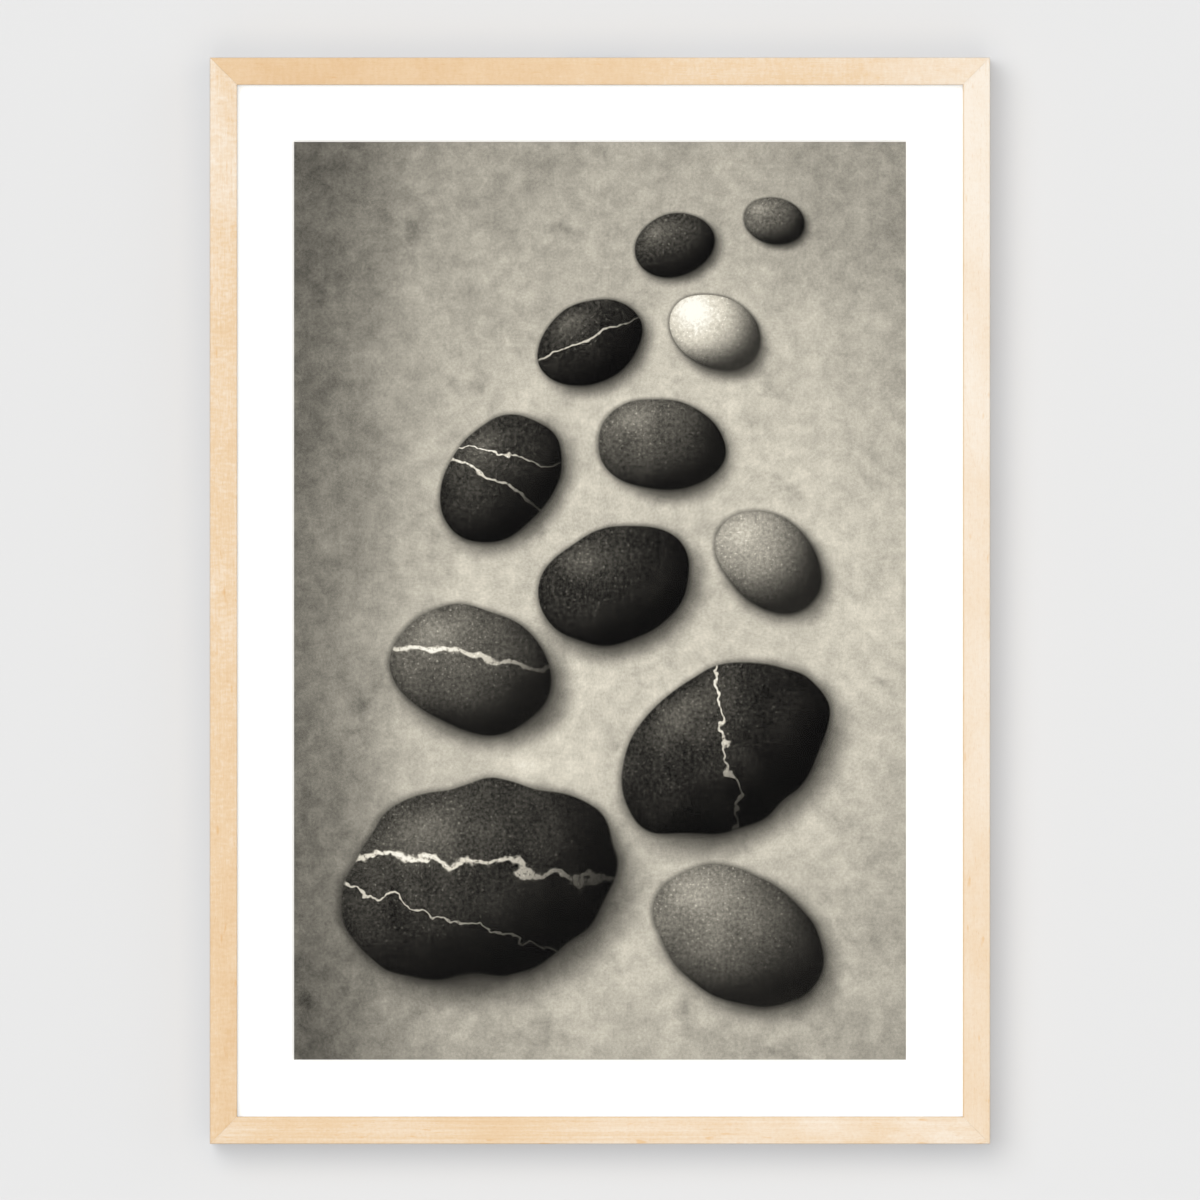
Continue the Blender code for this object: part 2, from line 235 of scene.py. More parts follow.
def arc(
    centre: tuple[float, float], radius: float, start: float, end: float, steps: int
) -> np.ndarray:
    """Find points on an arc, at the centre plus the radius times the angle's cosine and sine.

    Args:
        centre: The arc's centre.
        radius: Its radius.
        start: The first angle, in degrees.
        end: The last angle, in degrees.
        steps: How many steps lie between them.

    Returns:
        Rows of two coordinates.
    """
    angle = np.radians(np.linspace(start, end, steps + 1))
    first = centre[0] + radius * np.cos(angle)
    second = centre[1] + radius * np.sin(angle)
    return np.stack([first, second], axis=-1)


def add_piece(
    name: str,
    surface: Surface,
    material: bpy.types.Material,
    replaces: Sequence[str] = (),
    slot: Optional[str] = None,
    sharp_angle: float = 30.0,
    bevel: float = 0.0,
) -> bpy.types.Object:
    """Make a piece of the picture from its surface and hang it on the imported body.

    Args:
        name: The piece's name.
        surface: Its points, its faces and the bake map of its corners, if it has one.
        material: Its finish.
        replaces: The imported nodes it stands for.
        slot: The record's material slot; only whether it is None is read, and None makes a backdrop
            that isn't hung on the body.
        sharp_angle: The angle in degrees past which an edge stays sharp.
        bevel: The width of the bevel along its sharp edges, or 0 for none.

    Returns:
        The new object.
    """
    points, faces, bake_map = surface
    mesh = bpy.data.meshes.new(name)
    mesh.from_pydata(points.tolist(), [], faces)
    if bake_map is not None:
        layer = mesh.uv_layers.new(name=BAKE_MAP)
        layer.data.foreach_set("uv", bake_map.astype(np.float32).ravel())
    shape = bmesh.new()
    shape.from_mesh(mesh)
    bmesh.ops.recalc_face_normals(shape, faces=shape.faces)
    shape.to_mesh(mesh)
    shape.free()
    mesh.shade_smooth()
    mesh.set_sharp_from_angle(angle=radians(sharp_angle))
    mesh.materials.append(material)
    piece = bpy.data.objects.new(name, mesh)
    bpy.context.scene.collection.objects.link(piece)
    if bevel > 0.0:
        modifier = piece.modifiers.new("eased_edges", "BEVEL")
        modifier.width = bevel
        modifier.segments = 2
        modifier.limit_method = "ANGLE"
        modifier.angle_limit = radians(sharp_angle)
    if slot is None:
        return piece
    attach(piece, BODY)
    if replaces:
        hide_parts(*replaces)
    LOG.info("%s: %d points", name, len(points))
    return piece


def dress(node: str, material: bpy.types.Material) -> None:
    """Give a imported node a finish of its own.

    Args:
        node: The node's name.
        material: The finish.
    """
    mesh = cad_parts[node].data
    mesh.materials.clear()
    mesh.materials.append(material)
    LOG.info("%s: dressed in %s", node, material.name)


@dataclass
class Bench:
    """A material or a world under construction, with short ways to lay its nodes.

    Attributes:
        owner: The material or world whose nodes are laid.
    """

    owner: Union[bpy.types.Material, bpy.types.World]

    # Where a Mix node keeps its share and its two values, and its blended colour
    NUMBER_MIX_INPUTS = (0, 2, 3)
    COLOUR_MIX_INPUTS = (0, 6, 7)
    COLOUR_MIX_OUTPUT = 2
    NOISE_MIDDLE = 0.5

    @classmethod
    def start(cls, name: str) -> "Bench":
        """Start an empty material.

        Args:
            name: The material's name.

        Returns:
            The bench that it is made on.
        """
        material = bpy.data.materials.new(name)
        material.use_nodes = True
        material.node_tree.nodes.clear()
        return cls(material)

    def add(self, kind: str, **settings: object) -> bpy.types.Node:
        """Add a node.

        Args:
            kind: The node's type name.
            settings: The node's own properties.

        Returns:
            The new node.
        """
        node = self.owner.node_tree.nodes.new(kind)
        for key, value in settings.items():
            setattr(node, key, value)
        return node

    def feed(self, socket: bpy.types.NodeSocket, value: Feed) -> None:
        """Link a socket to another node's output, or set its own value.

        Args:
            socket: The input socket.
            value: An output socket, a number, a vector or a colour.
        """
        if isinstance(value, bpy.types.NodeSocket):
            self.owner.node_tree.links.new(value, socket)
        elif socket.type == "RGBA" and len(value) == 3:
            socket.default_value = (*value, 1.0)
        else:
            socket.default_value = value

    def feed_each(self, sockets: Iterable[bpy.types.NodeSocket], values: Iterable[Feed]) -> None:
        """Feed a row of sockets with a row of values.

        Args:
            sockets: The input sockets.
            values: One value for each of them.
        """
        for socket, value in zip(sockets, values):
            self.feed(socket, value)

    def maths(self, operation: str, *values: Feed) -> bpy.types.NodeSocket:
        """Work out a number.

        Args:
            operation: The Math node's operation.
            values: Its inputs.

        Returns:
            The result's socket.
        """
        node = self.add("ShaderNodeMath", operation=operation)
        self.feed_each(node.inputs, values)
        return node.outputs[0]

    def vector_maths(self, operation: str, *values: Feed) -> bpy.types.NodeSocket:
        """Work out a vector, or a number from vectors.

        Args:
            operation: The Vector Math node's operation.
            values: Its inputs.

        Returns:
            The result's socket.
        """
        node = self.add("ShaderNodeVectorMath", operation=operation)
        self.feed_each(node.inputs, values)
        scalar = operation in ("DOT_PRODUCT", "LENGTH")
        return node.outputs["Value" if scalar else "Vector"]

    def place(self) -> bpy.types.NodeSocket:
        """Return the object's own coordinates, in metres."""
        return self.add("ShaderNodeTexCoord").outputs["Object"]

    def mapped(
        self,
        vector: Feed,
        move: tuple = (0.0, 0.0, 0.0),
        turn: tuple = (0.0, 0.0, 0.0),
        stretch: tuple = (1.0, 1.0, 1.0),
        kind: str = "POINT",
    ) -> bpy.types.NodeSocket:
        """Move, turn and stretch coordinates.

        Args:
            vector: The coordinates.
            move: The Mapping node's location.
            turn: Its rotation, in radians.
            stretch: Its scale.
            kind: POINT applies them to the coordinates, and TEXTURE to the pattern.

        Returns:
            The new coordinates.
        """
        node = self.add("ShaderNodeMapping", vector_type=kind)
        sockets = [node.inputs[name] for name in ("Vector", "Location", "Rotation", "Scale")]
        self.feed_each(sockets, (vector, move, turn, stretch))
        return node.outputs["Vector"]

    def noise(
        self,
        vector: Feed,
        scale: float = 1.0,
        detail: float = 2.0,
        roughness: float = 0.5,
        warp: float = 0.0,
    ) -> bpy.types.NodeSocket:
        """Lay a noise.

        Args:
            vector: The coordinates.
            scale: The noise's features for each unit of them.
            detail: How many finer layers it has.
            roughness: How strong those are.
            warp: How far the noise distorts itself.

        Returns:
            A number near 0.5, mostly from 0.25 to 0.75.
        """
        node = self.add("ShaderNodeTexNoise")
        names = ("Vector", "Scale", "Detail", "Roughness", "Distortion")
        sockets = [node.inputs[name] for name in names]
        self.feed_each(sockets, (vector, scale, detail, roughness, warp))
        return node.outputs["Fac"]

    def rescale(
        self,
        value: Feed,
        low: float,
        high: float,
        start: float = 0.0,
        end: float = 1.0,
        soft: bool = True,
    ) -> bpy.types.NodeSocket:
        """Take a number from one range to another, and stop at its ends.

        Args:
            value: The number.
            low: Where the result is start.
            high: Where the result is end.
            start: The result at low.
            end: The result at high.
            soft: Whether it eases in and out.

        Returns:
            The result's socket.
        """
        kind = "SMOOTHSTEP" if soft else "LINEAR"
        node = self.add("ShaderNodeMapRange", interpolation_type=kind, clamp=True)
        self.feed_each(node.inputs, (value, low, high, start, end))
        return node.outputs["Result"]

    def blend(
        self, share: Feed, first: Feed, second: Feed, kind: str = "MIX"
    ) -> bpy.types.NodeSocket:
        """Blend two colours.

        Args:
            share: The second colour's share.
            first: The first colour.
            second: The second colour.
            kind: The Mix node's blend type.

        Returns:
            The blended colour.
        """
        node = self.add("ShaderNodeMix", data_type="RGBA", blend_type=kind)
        sockets = [node.inputs[number] for number in self.COLOUR_MIX_INPUTS]
        self.feed_each(sockets, (share, first, second))
        return node.outputs[self.COLOUR_MIX_OUTPUT]

    def fade(self, share: Feed, first: Feed, second: Feed) -> bpy.types.NodeSocket:
        """Blend two numbers.

        Args:
            share: The second number's share.
            first: The first number.
            second: The second number.

        Returns:
            The blended number.
        """
        node = self.add("ShaderNodeMix", data_type="FLOAT")
        sockets = [node.inputs[number] for number in self.NUMBER_MIX_INPUTS]
        self.feed_each(sockets, (share, first, second))
        return node.outputs[0]

    def total(self, base: Feed, *terms: tuple[Feed, float]) -> bpy.types.NodeSocket:
        """Add to a number the swing of some noises about their middle.

        Args:
            base: The number to start from.
            terms: Pairs of a noise and the weight of its swing.

        Returns:
            The sum.
        """
        result = base
        for noise, weight in terms:
            swing = self.maths("SUBTRACT", noise, self.NOISE_MIDDLE)
            result = self.maths("MULTIPLY_ADD", swing, weight, result)
        return result

    def parts(self, vector: Feed) -> tuple:
        """Split a vector into its three numbers.

        Args:
            vector: The vector.

        Returns:
            Its X, Y and Z.
        """
        node = self.add("ShaderNodeSeparateXYZ")
        self.feed(node.inputs[0], vector)
        return tuple(node.outputs)

    def relief(self, height: Feed, depth: float, strength: float = 1.0) -> bpy.types.NodeSocket:
        """Turn a height pattern into a bump.

        Args:
            height: The pattern, from 0 to 1.
            depth: How deep 1 is, in metres.
            strength: The bump's strength.

        Returns:
            The bumped normal.
        """
        node = self.add("ShaderNodeBump")
        sockets = [node.inputs[name] for name in ("Strength", "Distance", "Height")]
        self.feed_each(sockets, (strength, depth, height))
        return node.outputs["Normal"]

    def finish(self, **inputs: Feed) -> bpy.types.Material:
        """Close the material with a Principled shader.

        Args:
            inputs: The shader's sockets, with underscores for spaces.

        Returns:
            The finished material.
        """
        shader = self.add("ShaderNodeBsdfPrincipled")
        for name, value in inputs.items():
            self.feed(shader.inputs[name.replace("_", " ")], value)
        return self.close(shader.outputs[0])

    def close(self, surface: bpy.types.NodeSocket) -> bpy.types.Material:
        """Link the material's surface to its output.

        Args:
            surface: The last shader's socket.

        Returns:
            The finished material.
        """
        self.feed(self.add("ShaderNodeOutputMaterial").inputs["Surface"], surface)
        return self.owner


@dataclass(frozen=True)
class Grain:
    """One noise of the wood's figure.

    Attributes:
        along: Its features for each metre along the grain.
        across: Its features for each metre across the grain.
        detail: How many finer layers it has.
        roughness: How strong those are.
        weight: How far it swings the wood's tone, where every rail has it alike.
    """

    along: float
    across: float
    detail: float
    roughness: float = 0.5
    weight: float = 0.0


@dataclass(frozen=True)
class Figure:
    """What sets one rail's wood apart from the others'.

    Attributes:
        tones: How pale the wood is at the rail's low end, middle and high end, from 0 to 1, partly
            the wood's own tone and partly painted light, paler towards the frame's right.
        curl: How strong the bars across the grain are.
        lines: How strong the fine lines along the grain are.
        contrast: How strong the whole figure is.
        edge: How much painted shade darkens and warms the sight edge.
    """

    tones: tuple[float, float, float]
    curl: float
    lines: float
    contrast: float
    edge: float


@dataclass(frozen=True)
class Maple:
    """Pale maple under a satin lacquer, as one rail shows it.

    Attributes:
        name: The material's name.
        upright: Whether the grain runs up and down, and not across.
        low: The coordinate along the grain where the rail starts.
        high: The coordinate along the grain where it ends.
        front: The Y of the moulding's face.
        sight: Where the rail's sight edge lies across the grain.
        figure: The rail's own figure.
        seed: How far the rail's noises are moved away from the others'.
    """

    name: str
    upright: bool
    low: float
    high: float
    front: float
    sight: float
    figure: Figure
    seed: float

    # The wood's colours, and the tones at which the two paler ones are reached
    WARM = (0.560, 0.380, 0.215)
    HONEY = (0.608, 0.455, 0.296)
    PALE = (0.682, 0.615, 0.530)
    HONEY_TONE = 0.5
    PALE_TONE = 1.15

    # The wood of the sides and back, and the depths where the face's paler, painted light ends
    SIDE_TONE = 0.44
    SIDE_CONTRAST = 1.15
    FACE_LIGHT_FADE_START = 0.0006
    FACE_LIGHT_FADE_END = 0.0020

    # How wide the painted shade along the sight edge is, a warm darker line
    SIGHT_SHADE_WIDTH = 0.0012

    # The noises that the figure is laid from
    DRIFT = Grain(13.0, 22.0, 2.0, weight=0.75)
    BLOTCH = Grain(40.0, 70.0, 2.0, weight=0.45)
    CURL = Grain(420.0, 130.0, 1.0)
    MOTTLE = Grain(480.0, 380.0, 2.0, 0.6, weight=0.50)
    LINES = Grain(6.0, 520.0, 2.0, 0.6)
    FIBRE = Grain(110.0, 1700.0, 3.0, 0.65, weight=0.60)
    PORES = Grain(260.0, 3400.0, 1.0)
    STREAKS = Grain(75.0, 330.0, 1.0)

    # How far the seed moves the noises along each axis
    SEED_SHIFT = (1.0, 1.7, 0.6)

    # Where pores and streaks start and are full, what they do to the colour, and how deep
    # the grain is
    PORE_RANGE = (0.62, 0.74)
    PORE_SHARE = 0.6
    PORE_TINT = (0.88, 0.76, 0.62)
    STREAK_RANGE = (0.68, 0.84)
    STREAK_TINT = (0.94, 0.80, 0.62)
    RELIEF = 0.00004

    def lay_tone(self, bench: Bench, along: Feed, behind: Feed) -> bpy.types.NodeSocket:
        """Lay the rail's slow change of tone, partly painted light, without its figure.

        The tone runs in straight lines between those of the low end, middle and high end.

        Args:
            bench: The material's bench.
            along: The coordinate along the grain.
            behind: The share of the way to the wood behind the face, without its painted light.

        Returns:
            The tone.
        """
        # The tones are partly painted light, paler towards the frame's right
        middle = (self.low + self.high) / 2
        first, centre, last = self.figure.tones
        tone = bench.fade(bench.rescale(along, self.low, middle, soft=False), first, centre)
        tone = bench.fade(bench.rescale(along, middle, self.high, soft=False), tone, last)
        return bench.fade(behind, tone, self.SIDE_TONE)

    def make(self) -> bpy.types.Material:
        """Lay the wood's nodes.

        The face is painted paler, as painted light, and the wood warms to one tone behind it.

        Returns:
            The finished material.
        """
        bench = Bench.start(self.name)
        turn = (0.0, pi / 2, 0.0) if self.upright else (0.0, 0.0, 0.0)
        shift = tuple(self.seed * part for part in self.SEED_SHIFT)
        place = bench.place()
        wood = bench.mapped(place, turn=turn)
        along, deep, _ = bench.parts(wood)
        x, _, z = bench.parts(place)
        across = x if self.upright else z
        inward = bench.maths("ABSOLUTE", bench.maths("SUBTRACT", across, self.sight))
        # Painted light: the face is paler than the wood behind it
        face_light_fade = self.front + self.FACE_LIGHT_FADE_START
        behind = bench.rescale(deep, face_light_fade, self.front + self.FACE_LIGHT_FADE_END)
        tone = self.lay_tone(bench, along, behind)

        def lay(grain: Grain) -> bpy.types.NodeSocket:
            """Lay a noise stretched along the grain."""
            own = bench.mapped(wood, shift, stretch=(grain.along, grain.across, grain.across))
            return bench.noise(own, 1.0, grain.detail, grain.roughness)

        blotch, lines, fibre = lay(self.BLOTCH), lay(self.LINES), lay(self.FIBRE)
        pores = bench.rescale(lay(self.PORES), *self.PORE_RANGE)
        streaks = bench.rescale(lay(self.STREAKS), *self.STREAK_RANGE)
        swing = bench.total(
            0.0,
            (lay(self.DRIFT), self.DRIFT.weight),
            (blotch, self.BLOTCH.weight),
            (lay(self.CURL), self.figure.curl),
            (lay(self.MOTTLE), self.MOTTLE.weight),
            (lines, self.figure.lines),
            (fibre, self.FIBRE.weight),
        )
        strength = bench.fade(behind, self.figure.contrast, self.SIDE_CONTRAST)
        tone = bench.maths("MULTIPLY_ADD", swing, strength, tone)
        # Painted shade: a warm, darker line along the sight edge
        sight_edge_shade = bench.rescale(inward, 0.0, self.SIGHT_SHADE_WIDTH, self.figure.edge, 0.0)
        tone = bench.maths("SUBTRACT", tone, sight_edge_shade)
        to_honey = bench.rescale(tone, 0.0, self.HONEY_TONE, soft=False)
        to_pale = bench.rescale(tone, self.HONEY_TONE, self.PALE_TONE, soft=False)
        colour = bench.blend(to_honey, self.WARM, self.HONEY)
        colour = bench.blend(to_pale, colour, self.PALE)
        speck = bench.maths("MULTIPLY", pores, self.PORE_SHARE)
        colour = bench.blend(speck, colour, self.PORE_TINT, "MULTIPLY")
        colour = bench.blend(streaks, colour, self.STREAK_TINT, "MULTIPLY")
        height = bench.total(0.5, (fibre, 0.9), (lines, 0.5), (pores, -0.4))
        return bench.finish(
            Base_Color=colour,
            Roughness=bench.total(0.46, (blotch, 0.15), (fibre, 0.25)),
            Normal=bench.relief(height, self.RELIEF),
            Specular_IOR_Level=0.30,
            Coat_Weight=0.06,
            Coat_Roughness=0.3,
        )


@dataclass(frozen=True)
class Glazing:
    """A clear, anti-reflective picture sheet.

    Attributes:
        bend: The index that its reflections follow, low because of the coating.
        tint: What it does to the light that passes.
    """

    bend: float = 1.22
    tint: tuple = (0.997, 0.999, 0.998)

    # The sheet's waves and haze, as features for each metre, and what they do to it
    WAVES = 9.0
    WAVE_DEPTH = 0.0004
    WAVE_STRENGTH = 0.4
    HAZE = 35.0
    HAZE_ROUGHNESS = (0.02, 0.06)

    def make(self) -> bpy.types.Material:
        """Lay a Fresnel blend of clear and mirror, its gloss a little uneven.

        Light that leaves the sheet passes clear, because it isn't bent on its way in.

        Returns:
            The finished material.
        """
        bench = Bench.start("clear_glazing")
        place = bench.place()
        waves = bench.noise(place, self.WAVES, 1.0)
        haze = bench.noise(place, self.HAZE, 3.0)
        clear = bench.add("ShaderNodeBsdfTransparent")
        bench.feed(clear.inputs["Color"], self.tint)
        mirror = bench.add("ShaderNodeBsdfGlossy")
        roughness = bench.rescale(haze, 0.3, 0.7, *self.HAZE_ROUGHNESS)
        bench.feed(mirror.inputs["Roughness"], roughness)
        normal = bench.relief(waves, self.WAVE_DEPTH, self.WAVE_STRENGTH)
        bench.feed(mirror.inputs["Normal"], normal)
        edge = bench.add("ShaderNodeFresnel")
        bench.feed(edge.inputs["IOR"], self.bend)
        leaving = bench.add("ShaderNodeNewGeometry").outputs["Backfacing"]
        entering = bench.maths("SUBTRACT", 1.0, leaving)
        share = bench.maths("MULTIPLY", edge.outputs[0], entering)
        mix = bench.add("ShaderNodeMixShader")
        bench.feed_each(mix.inputs, (share, clear.outputs[0], mirror.outputs[0]))
        return bench.close(mix.outputs[0])


@dataclass(frozen=True)
class Paper:
    """Matt paper or board with soft fibres.

    Attributes:
        name: The material's name.
        colour: The paper's own colour.
        shade: The colour of its darker fibres.
        grain: The fibres for each metre.
        depth: How deep the surface's tooth is, in metres.
    """

    name: str
    colour: tuple
    shade: tuple
    grain: float = 1400.0
    depth: float = 0.00003

    # The slow change of shade, as features for each metre
    CLOUDS = 24.0

    def make(self) -> bpy.types.Material:
        """Lay the paper's nodes.

        Returns:
            The finished material.
        """
        bench = Bench.start(self.name)
        place = bench.place()
        tooth = bench.noise(place, self.grain, 3.0, 0.6)
        cloud = bench.noise(place, self.CLOUDS, 3.0)
        share = bench.total(0.35, (tooth, 0.9), (cloud, 0.8))
        return bench.finish(
            Base_Color=bench.blend(share, self.colour, self.shade),
            Roughness=bench.total(0.88, (tooth, 0.2)),
            Normal=bench.relief(tooth, self.depth),
            Specular_IOR_Level=0.25,
        )


@dataclass(frozen=True)
class MatBoard:
    """White mat board, whose cut bevel shows its cream core.

    Attributes:
        half_width: Half the opening's width at the front of the bevel.
        half_height: Half its height there.
        centre: The Z of the opening's middle.
    """

    half_width: float
    half_height: float
    centre: float

    FACE = (0.945, 0.945, 0.940)
    FACE_SHADE = (0.905, 0.905, 0.895)
    CORE = (0.930, 0.915, 0.885)
    CORE_SHADE = (0.850, 0.825, 0.780)

    # The board's noises, as features for each metre
    TOOTH = 1500.0
    TOOTH_DEPTH = 0.00002
    CLOUDS = 16.0
    CORE_LAYERS = (300.0, 9000.0, 300.0)

    def make(self) -> bpy.types.Material:
        """Lay the board's nodes.

        Returns:
            The finished material.
        """
        bench = Bench.start("mat_board")
        place = bench.place()
        x, _, z = bench.parts(place)
        beside = bench.maths("LESS_THAN", bench.maths("ABSOLUTE", x), self.half_width)
        height = bench.maths("ABSOLUTE", bench.maths("SUBTRACT", z, self.centre))
        between = bench.maths("LESS_THAN", height, self.half_height)
        inside = bench.maths("MULTIPLY", beside, between)
        tooth = bench.noise(place, self.TOOTH, 3.0, 0.6)
        cloud = bench.noise(place, self.CLOUDS, 2.0)
        layers = bench.noise(bench.mapped(place, stretch=self.CORE_LAYERS), 1.0, 2.0)
        face_shade = bench.total(0.3, (tooth, 0.8), (cloud, 0.5))
        core_shade = bench.total(0.3, (layers, 1.4), (tooth, 0.6))
        face = bench.blend(face_shade, self.FACE, self.FACE_SHADE)
        core = bench.blend(core_shade, self.CORE, self.CORE_SHADE)
        return bench.finish(
            Base_Color=bench.blend(inside, face, core),
            Roughness=bench.total(0.90, (tooth, 0.15)),
            Normal=bench.relief(tooth, self.TOOTH_DEPTH),
            Specular_IOR_Level=0.2,
        )


@dataclass(frozen=True)
class Pebble:
    """One sea pebble of the printed design, laid flat.

    Attributes:
        across: Its middle's distance to the right of the print's, in metres.
        up: Its middle's distance above the print's.
        long: Its half length.
        short: Its half width.
        turn: The turn of its length up from level, in degrees.
        tone: How light the stone is, from 0 to 1.
        veins: For each pale vein, its direction in degrees, its offset and its half width.
    """

    across: float
    up: float
    long: float
    short: float
    turn: float
    tone: float
    veins: tuple = ()


@dataclass(frozen=True)
class PebblePrint:
    """A warm grey photographic print of dark sea pebbles on pale plaster.

    Attributes:
        centre: The Z of the print's middle.
        pebbles: The stones of the design.
        light: The direction of the light that falls on them, as right, up and out.
    """

    centre: float
    pebbles: tuple[Pebble, ...]
    light: tuple = (-0.50, 0.56, 0.66)

    INK = (0.772, 0.716, 0.600)
    HIGHLIGHT = (0.755, 0.722, 0.645)
    HIGHLIGHT_TONE = 0.82
    SCREEN_GAMMA = 2.2
    DARKEST = 0.02

    # The paper's and the stones' noises, as features for each metre
    TOOTH = 1800.0
    TOOTH_DEPTH = 0.00001
    FILM_GRAIN = 950.0
    BENDS = 17.0
    RIPPLES = 42.0
    SPECKLES = 400.0
    SALT_GRAINS = 560.0

    # The plaster: its noises as features for each metre, its tone, and what darkens it
    BROAD = 7.0
    CLOUDS = 30.0
    DAUBS = 95.0
    GRIT = 480.0
    SMEARS = (22.0, 22.0, 30.0)
    SMEAR_SHIFT = (3.1, 0.0, 1.3)
    PLASTER_TONE = 0.775
    SMUDGE = -0.12
    BRIGHT_SPOT = (-0.22, 0.0, 0.08)
    FALLOFF = -0.25
    LEFT_EDGE = -0.14

    # The pebbles: their outline, their relief and the light on them
    OUTLINE_WARP = 0.34
    EDGE = 0.013
    DOME = 0.85
    SHADE = 0.27
    LIGHT_GAIN = 0.90
    LIT_FROM = -0.40
    GLINT = 0.16
    GLINT_POWER = 14.0
    SALT = 0.16
    VEIN_TONE = 0.84
    VEIN_WAVER = 0.55
    VEIN_CORE = 0.35

    # How far the cast shadow falls, in half widths of its pebble
    SHADOW_REACH = 0.30

    # Where each shadow is full and where it ends, in pebble radii, and how deep it is
    SHADOW = (0.78, 1.26, 0.62)
    TOUCH = (0.97, 1.09, 0.40)

    def ground(self, bench: Bench, place: Feed) -> bpy.types.NodeSocket:
        """Lay the mottled plaster under the pebbles.

        Args:
            bench: The material's bench.
            place: Coordinates from the print's middle, in metres.

        Returns:
            The ground's lightness as it shows on a screen, from 0 to 1.
        """
        broad = bench.noise(place, self.BROAD, 2.0, 0.5)
        cloud = bench.noise(place, self.CLOUDS, 3.0, 0.55)
        daub = bench.noise(place, self.DAUBS, 3.0, 0.5, 0.4)
        grit = bench.noise(place, self.GRIT, 2.0, 0.7)
        smeared = bench.mapped(place, self.SMEAR_SHIFT, stretch=self.SMEARS)
        smudge = bench.rescale(bench.noise(smeared, 1.0, 4.0, 0.65), 0.56, 0.76)
        halves = (2.0 / WINDOW_WIDTH, 0.0, 2.0 / WINDOW_HEIGHT)
        off_middle = bench.mapped(place, self.BRIGHT_SPOT, stretch=halves)
        falloff = bench.rescale(bench.vector_maths("LENGTH", off_middle), 0.45, 1.60)
        x = bench.parts(place)[0]
        left_edge = bench.rescale(x, -WINDOW_WIDTH / 2, -WINDOW_WIDTH / 4, 1.0, 0.0)
        terms = ((broad, 0.16), (cloud, 0.18), (daub, 0.25), (grit, 0.22))
        tone = bench.total(self.PLASTER_TONE, *terms)
        tone = bench.maths("MULTIPLY_ADD", smudge, self.SMUDGE, tone)
        tone = bench.maths("MULTIPLY_ADD", falloff, self.FALLOFF, tone)
        return bench.maths("MULTIPLY_ADD", left_edge, self.LEFT_EDGE, tone)

    def stone(self, bench: Bench, own: Feed, pebble: Pebble, shared: tuple) -> bpy.types.NodeSocket:
        """Lay a pebble's own tone, with its veins and specks.

        A vein is the line at a set distance from the pebble's middle, in one direction,
        and a slow noise makes it waver.

        Args:
            bench: The material's bench.
            own: The pebble's own coordinates, in which its outline is the unit circle.
            pebble: The stone.
            shared: The noises that bend the outline and the veins, speckle the stone and
                salt it.

        Returns:
            The stone's lightness before it is lit.
        """
        _, ripple, speckle, salt = shared
        stone = bench.total(pebble.tone, (speckle, 0.40), (ripple, 0.24))
        for direction, offset, width in pebble.veins:
            line = (cos(radians(direction)), 0.0, sin(radians(direction)))
            away = bench.maths("ADD", bench.vector_maths("DOT_PRODUCT", own, line), -offset)
            away = bench.maths("ABSOLUTE", bench.total(away, (ripple, self.VEIN_WAVER)))
            vein = bench.rescale(away, width * self.VEIN_CORE, width, 0.85, 0.0)
            vein = bench.maths("MULTIPLY", vein, bench.rescale(speckle, 0.25, 0.50, 0.35, 1.0))
            stone = bench.fade(vein, stone, self.VEIN_TONE)
        return bench.maths("MULTIPLY_ADD", salt, self.SALT, stone)

    def lay(
        self, bench: Bench, place: Feed, base: Feed, pebble: Pebble, shared: tuple
    ) -> bpy.types.NodeSocket:
        """Lay one pebble and its shadow over what is there.

        In the pebble's own coordinates, stretched so that its outline is the unit circle,
        the stone fills r < 1, where r is the distance from its middle plus a slow noise.
        Its surface is a dome of height sqrt(1 - r^2), lit by the dot product of the
        dome's normal and the light.

        Args:
            bench: The material's bench.
            place: Coordinates from the print's middle, in metres.
            base: The lightness of what lies under it.
            pebble: The stone.
            shared: The noises that bend the outline and the veins, speckle the stone and
                salt it.

        Returns:
            The lightness with the stone on it.
        """
        angle = radians(pebble.turn)
        spot = (pebble.across, 0.0, pebble.up)
        size = (pebble.long, 1.0, pebble.short)
        own = bench.mapped(place, spot, (0.0, -angle, 0.0), size, kind="TEXTURE")
        x, _, z = bench.parts(own)
        squares = bench.maths("MULTIPLY_ADD", x, x, bench.maths("MULTIPLY", z, z))
        radius = bench.total(bench.maths("SQRT", squares), (shared[0], self.OUTLINE_WARP))
        within = bench.rescale(radius, 1.0 - self.EDGE, 1.0 + self.EDGE, 1.0, 0.0)
        inside = bench.maths("MINIMUM", radius, 0.999)
        square = bench.maths("MULTIPLY", inside, inside)
        dome = bench.maths("SQRT", bench.maths("SUBTRACT", 1.0, square))
        normal = bench.add("ShaderNodeCombineXYZ")
        bench.feed_each(normal.inputs, (x, z, bench.maths("MULTIPLY", dome, self.DOME)))
        right, upward, out = self.light
        own_right = right * cos(angle) + upward * sin(angle)
        own_up = upward * cos(angle) - right * sin(angle)
        unit = bench.vector_maths("NORMALIZE", normal.outputs[0])
        facing = bench.vector_maths("DOT_PRODUCT", unit, (own_right, own_up, out))
        sharp = bench.maths("POWER", bench.maths("MAXIMUM", facing, 0.0), self.GLINT_POWER)
        glint = bench.maths("MULTIPLY", sharp, self.GLINT)
        lit = bench.rescale(facing, self.LIT_FROM, 1.0)
        shade = bench.maths("MULTIPLY_ADD", lit, self.LIGHT_GAIN, self.SHADE)
        stone = self.stone(bench, own, pebble, shared)
        stone = bench.maths("MULTIPLY_ADD", stone, shade, glint)
        reach = self.SHADOW_REACH * pebble.short
        fall = (own_right * -reach / pebble.long, 0.0, own_up * -reach / pebble.short)
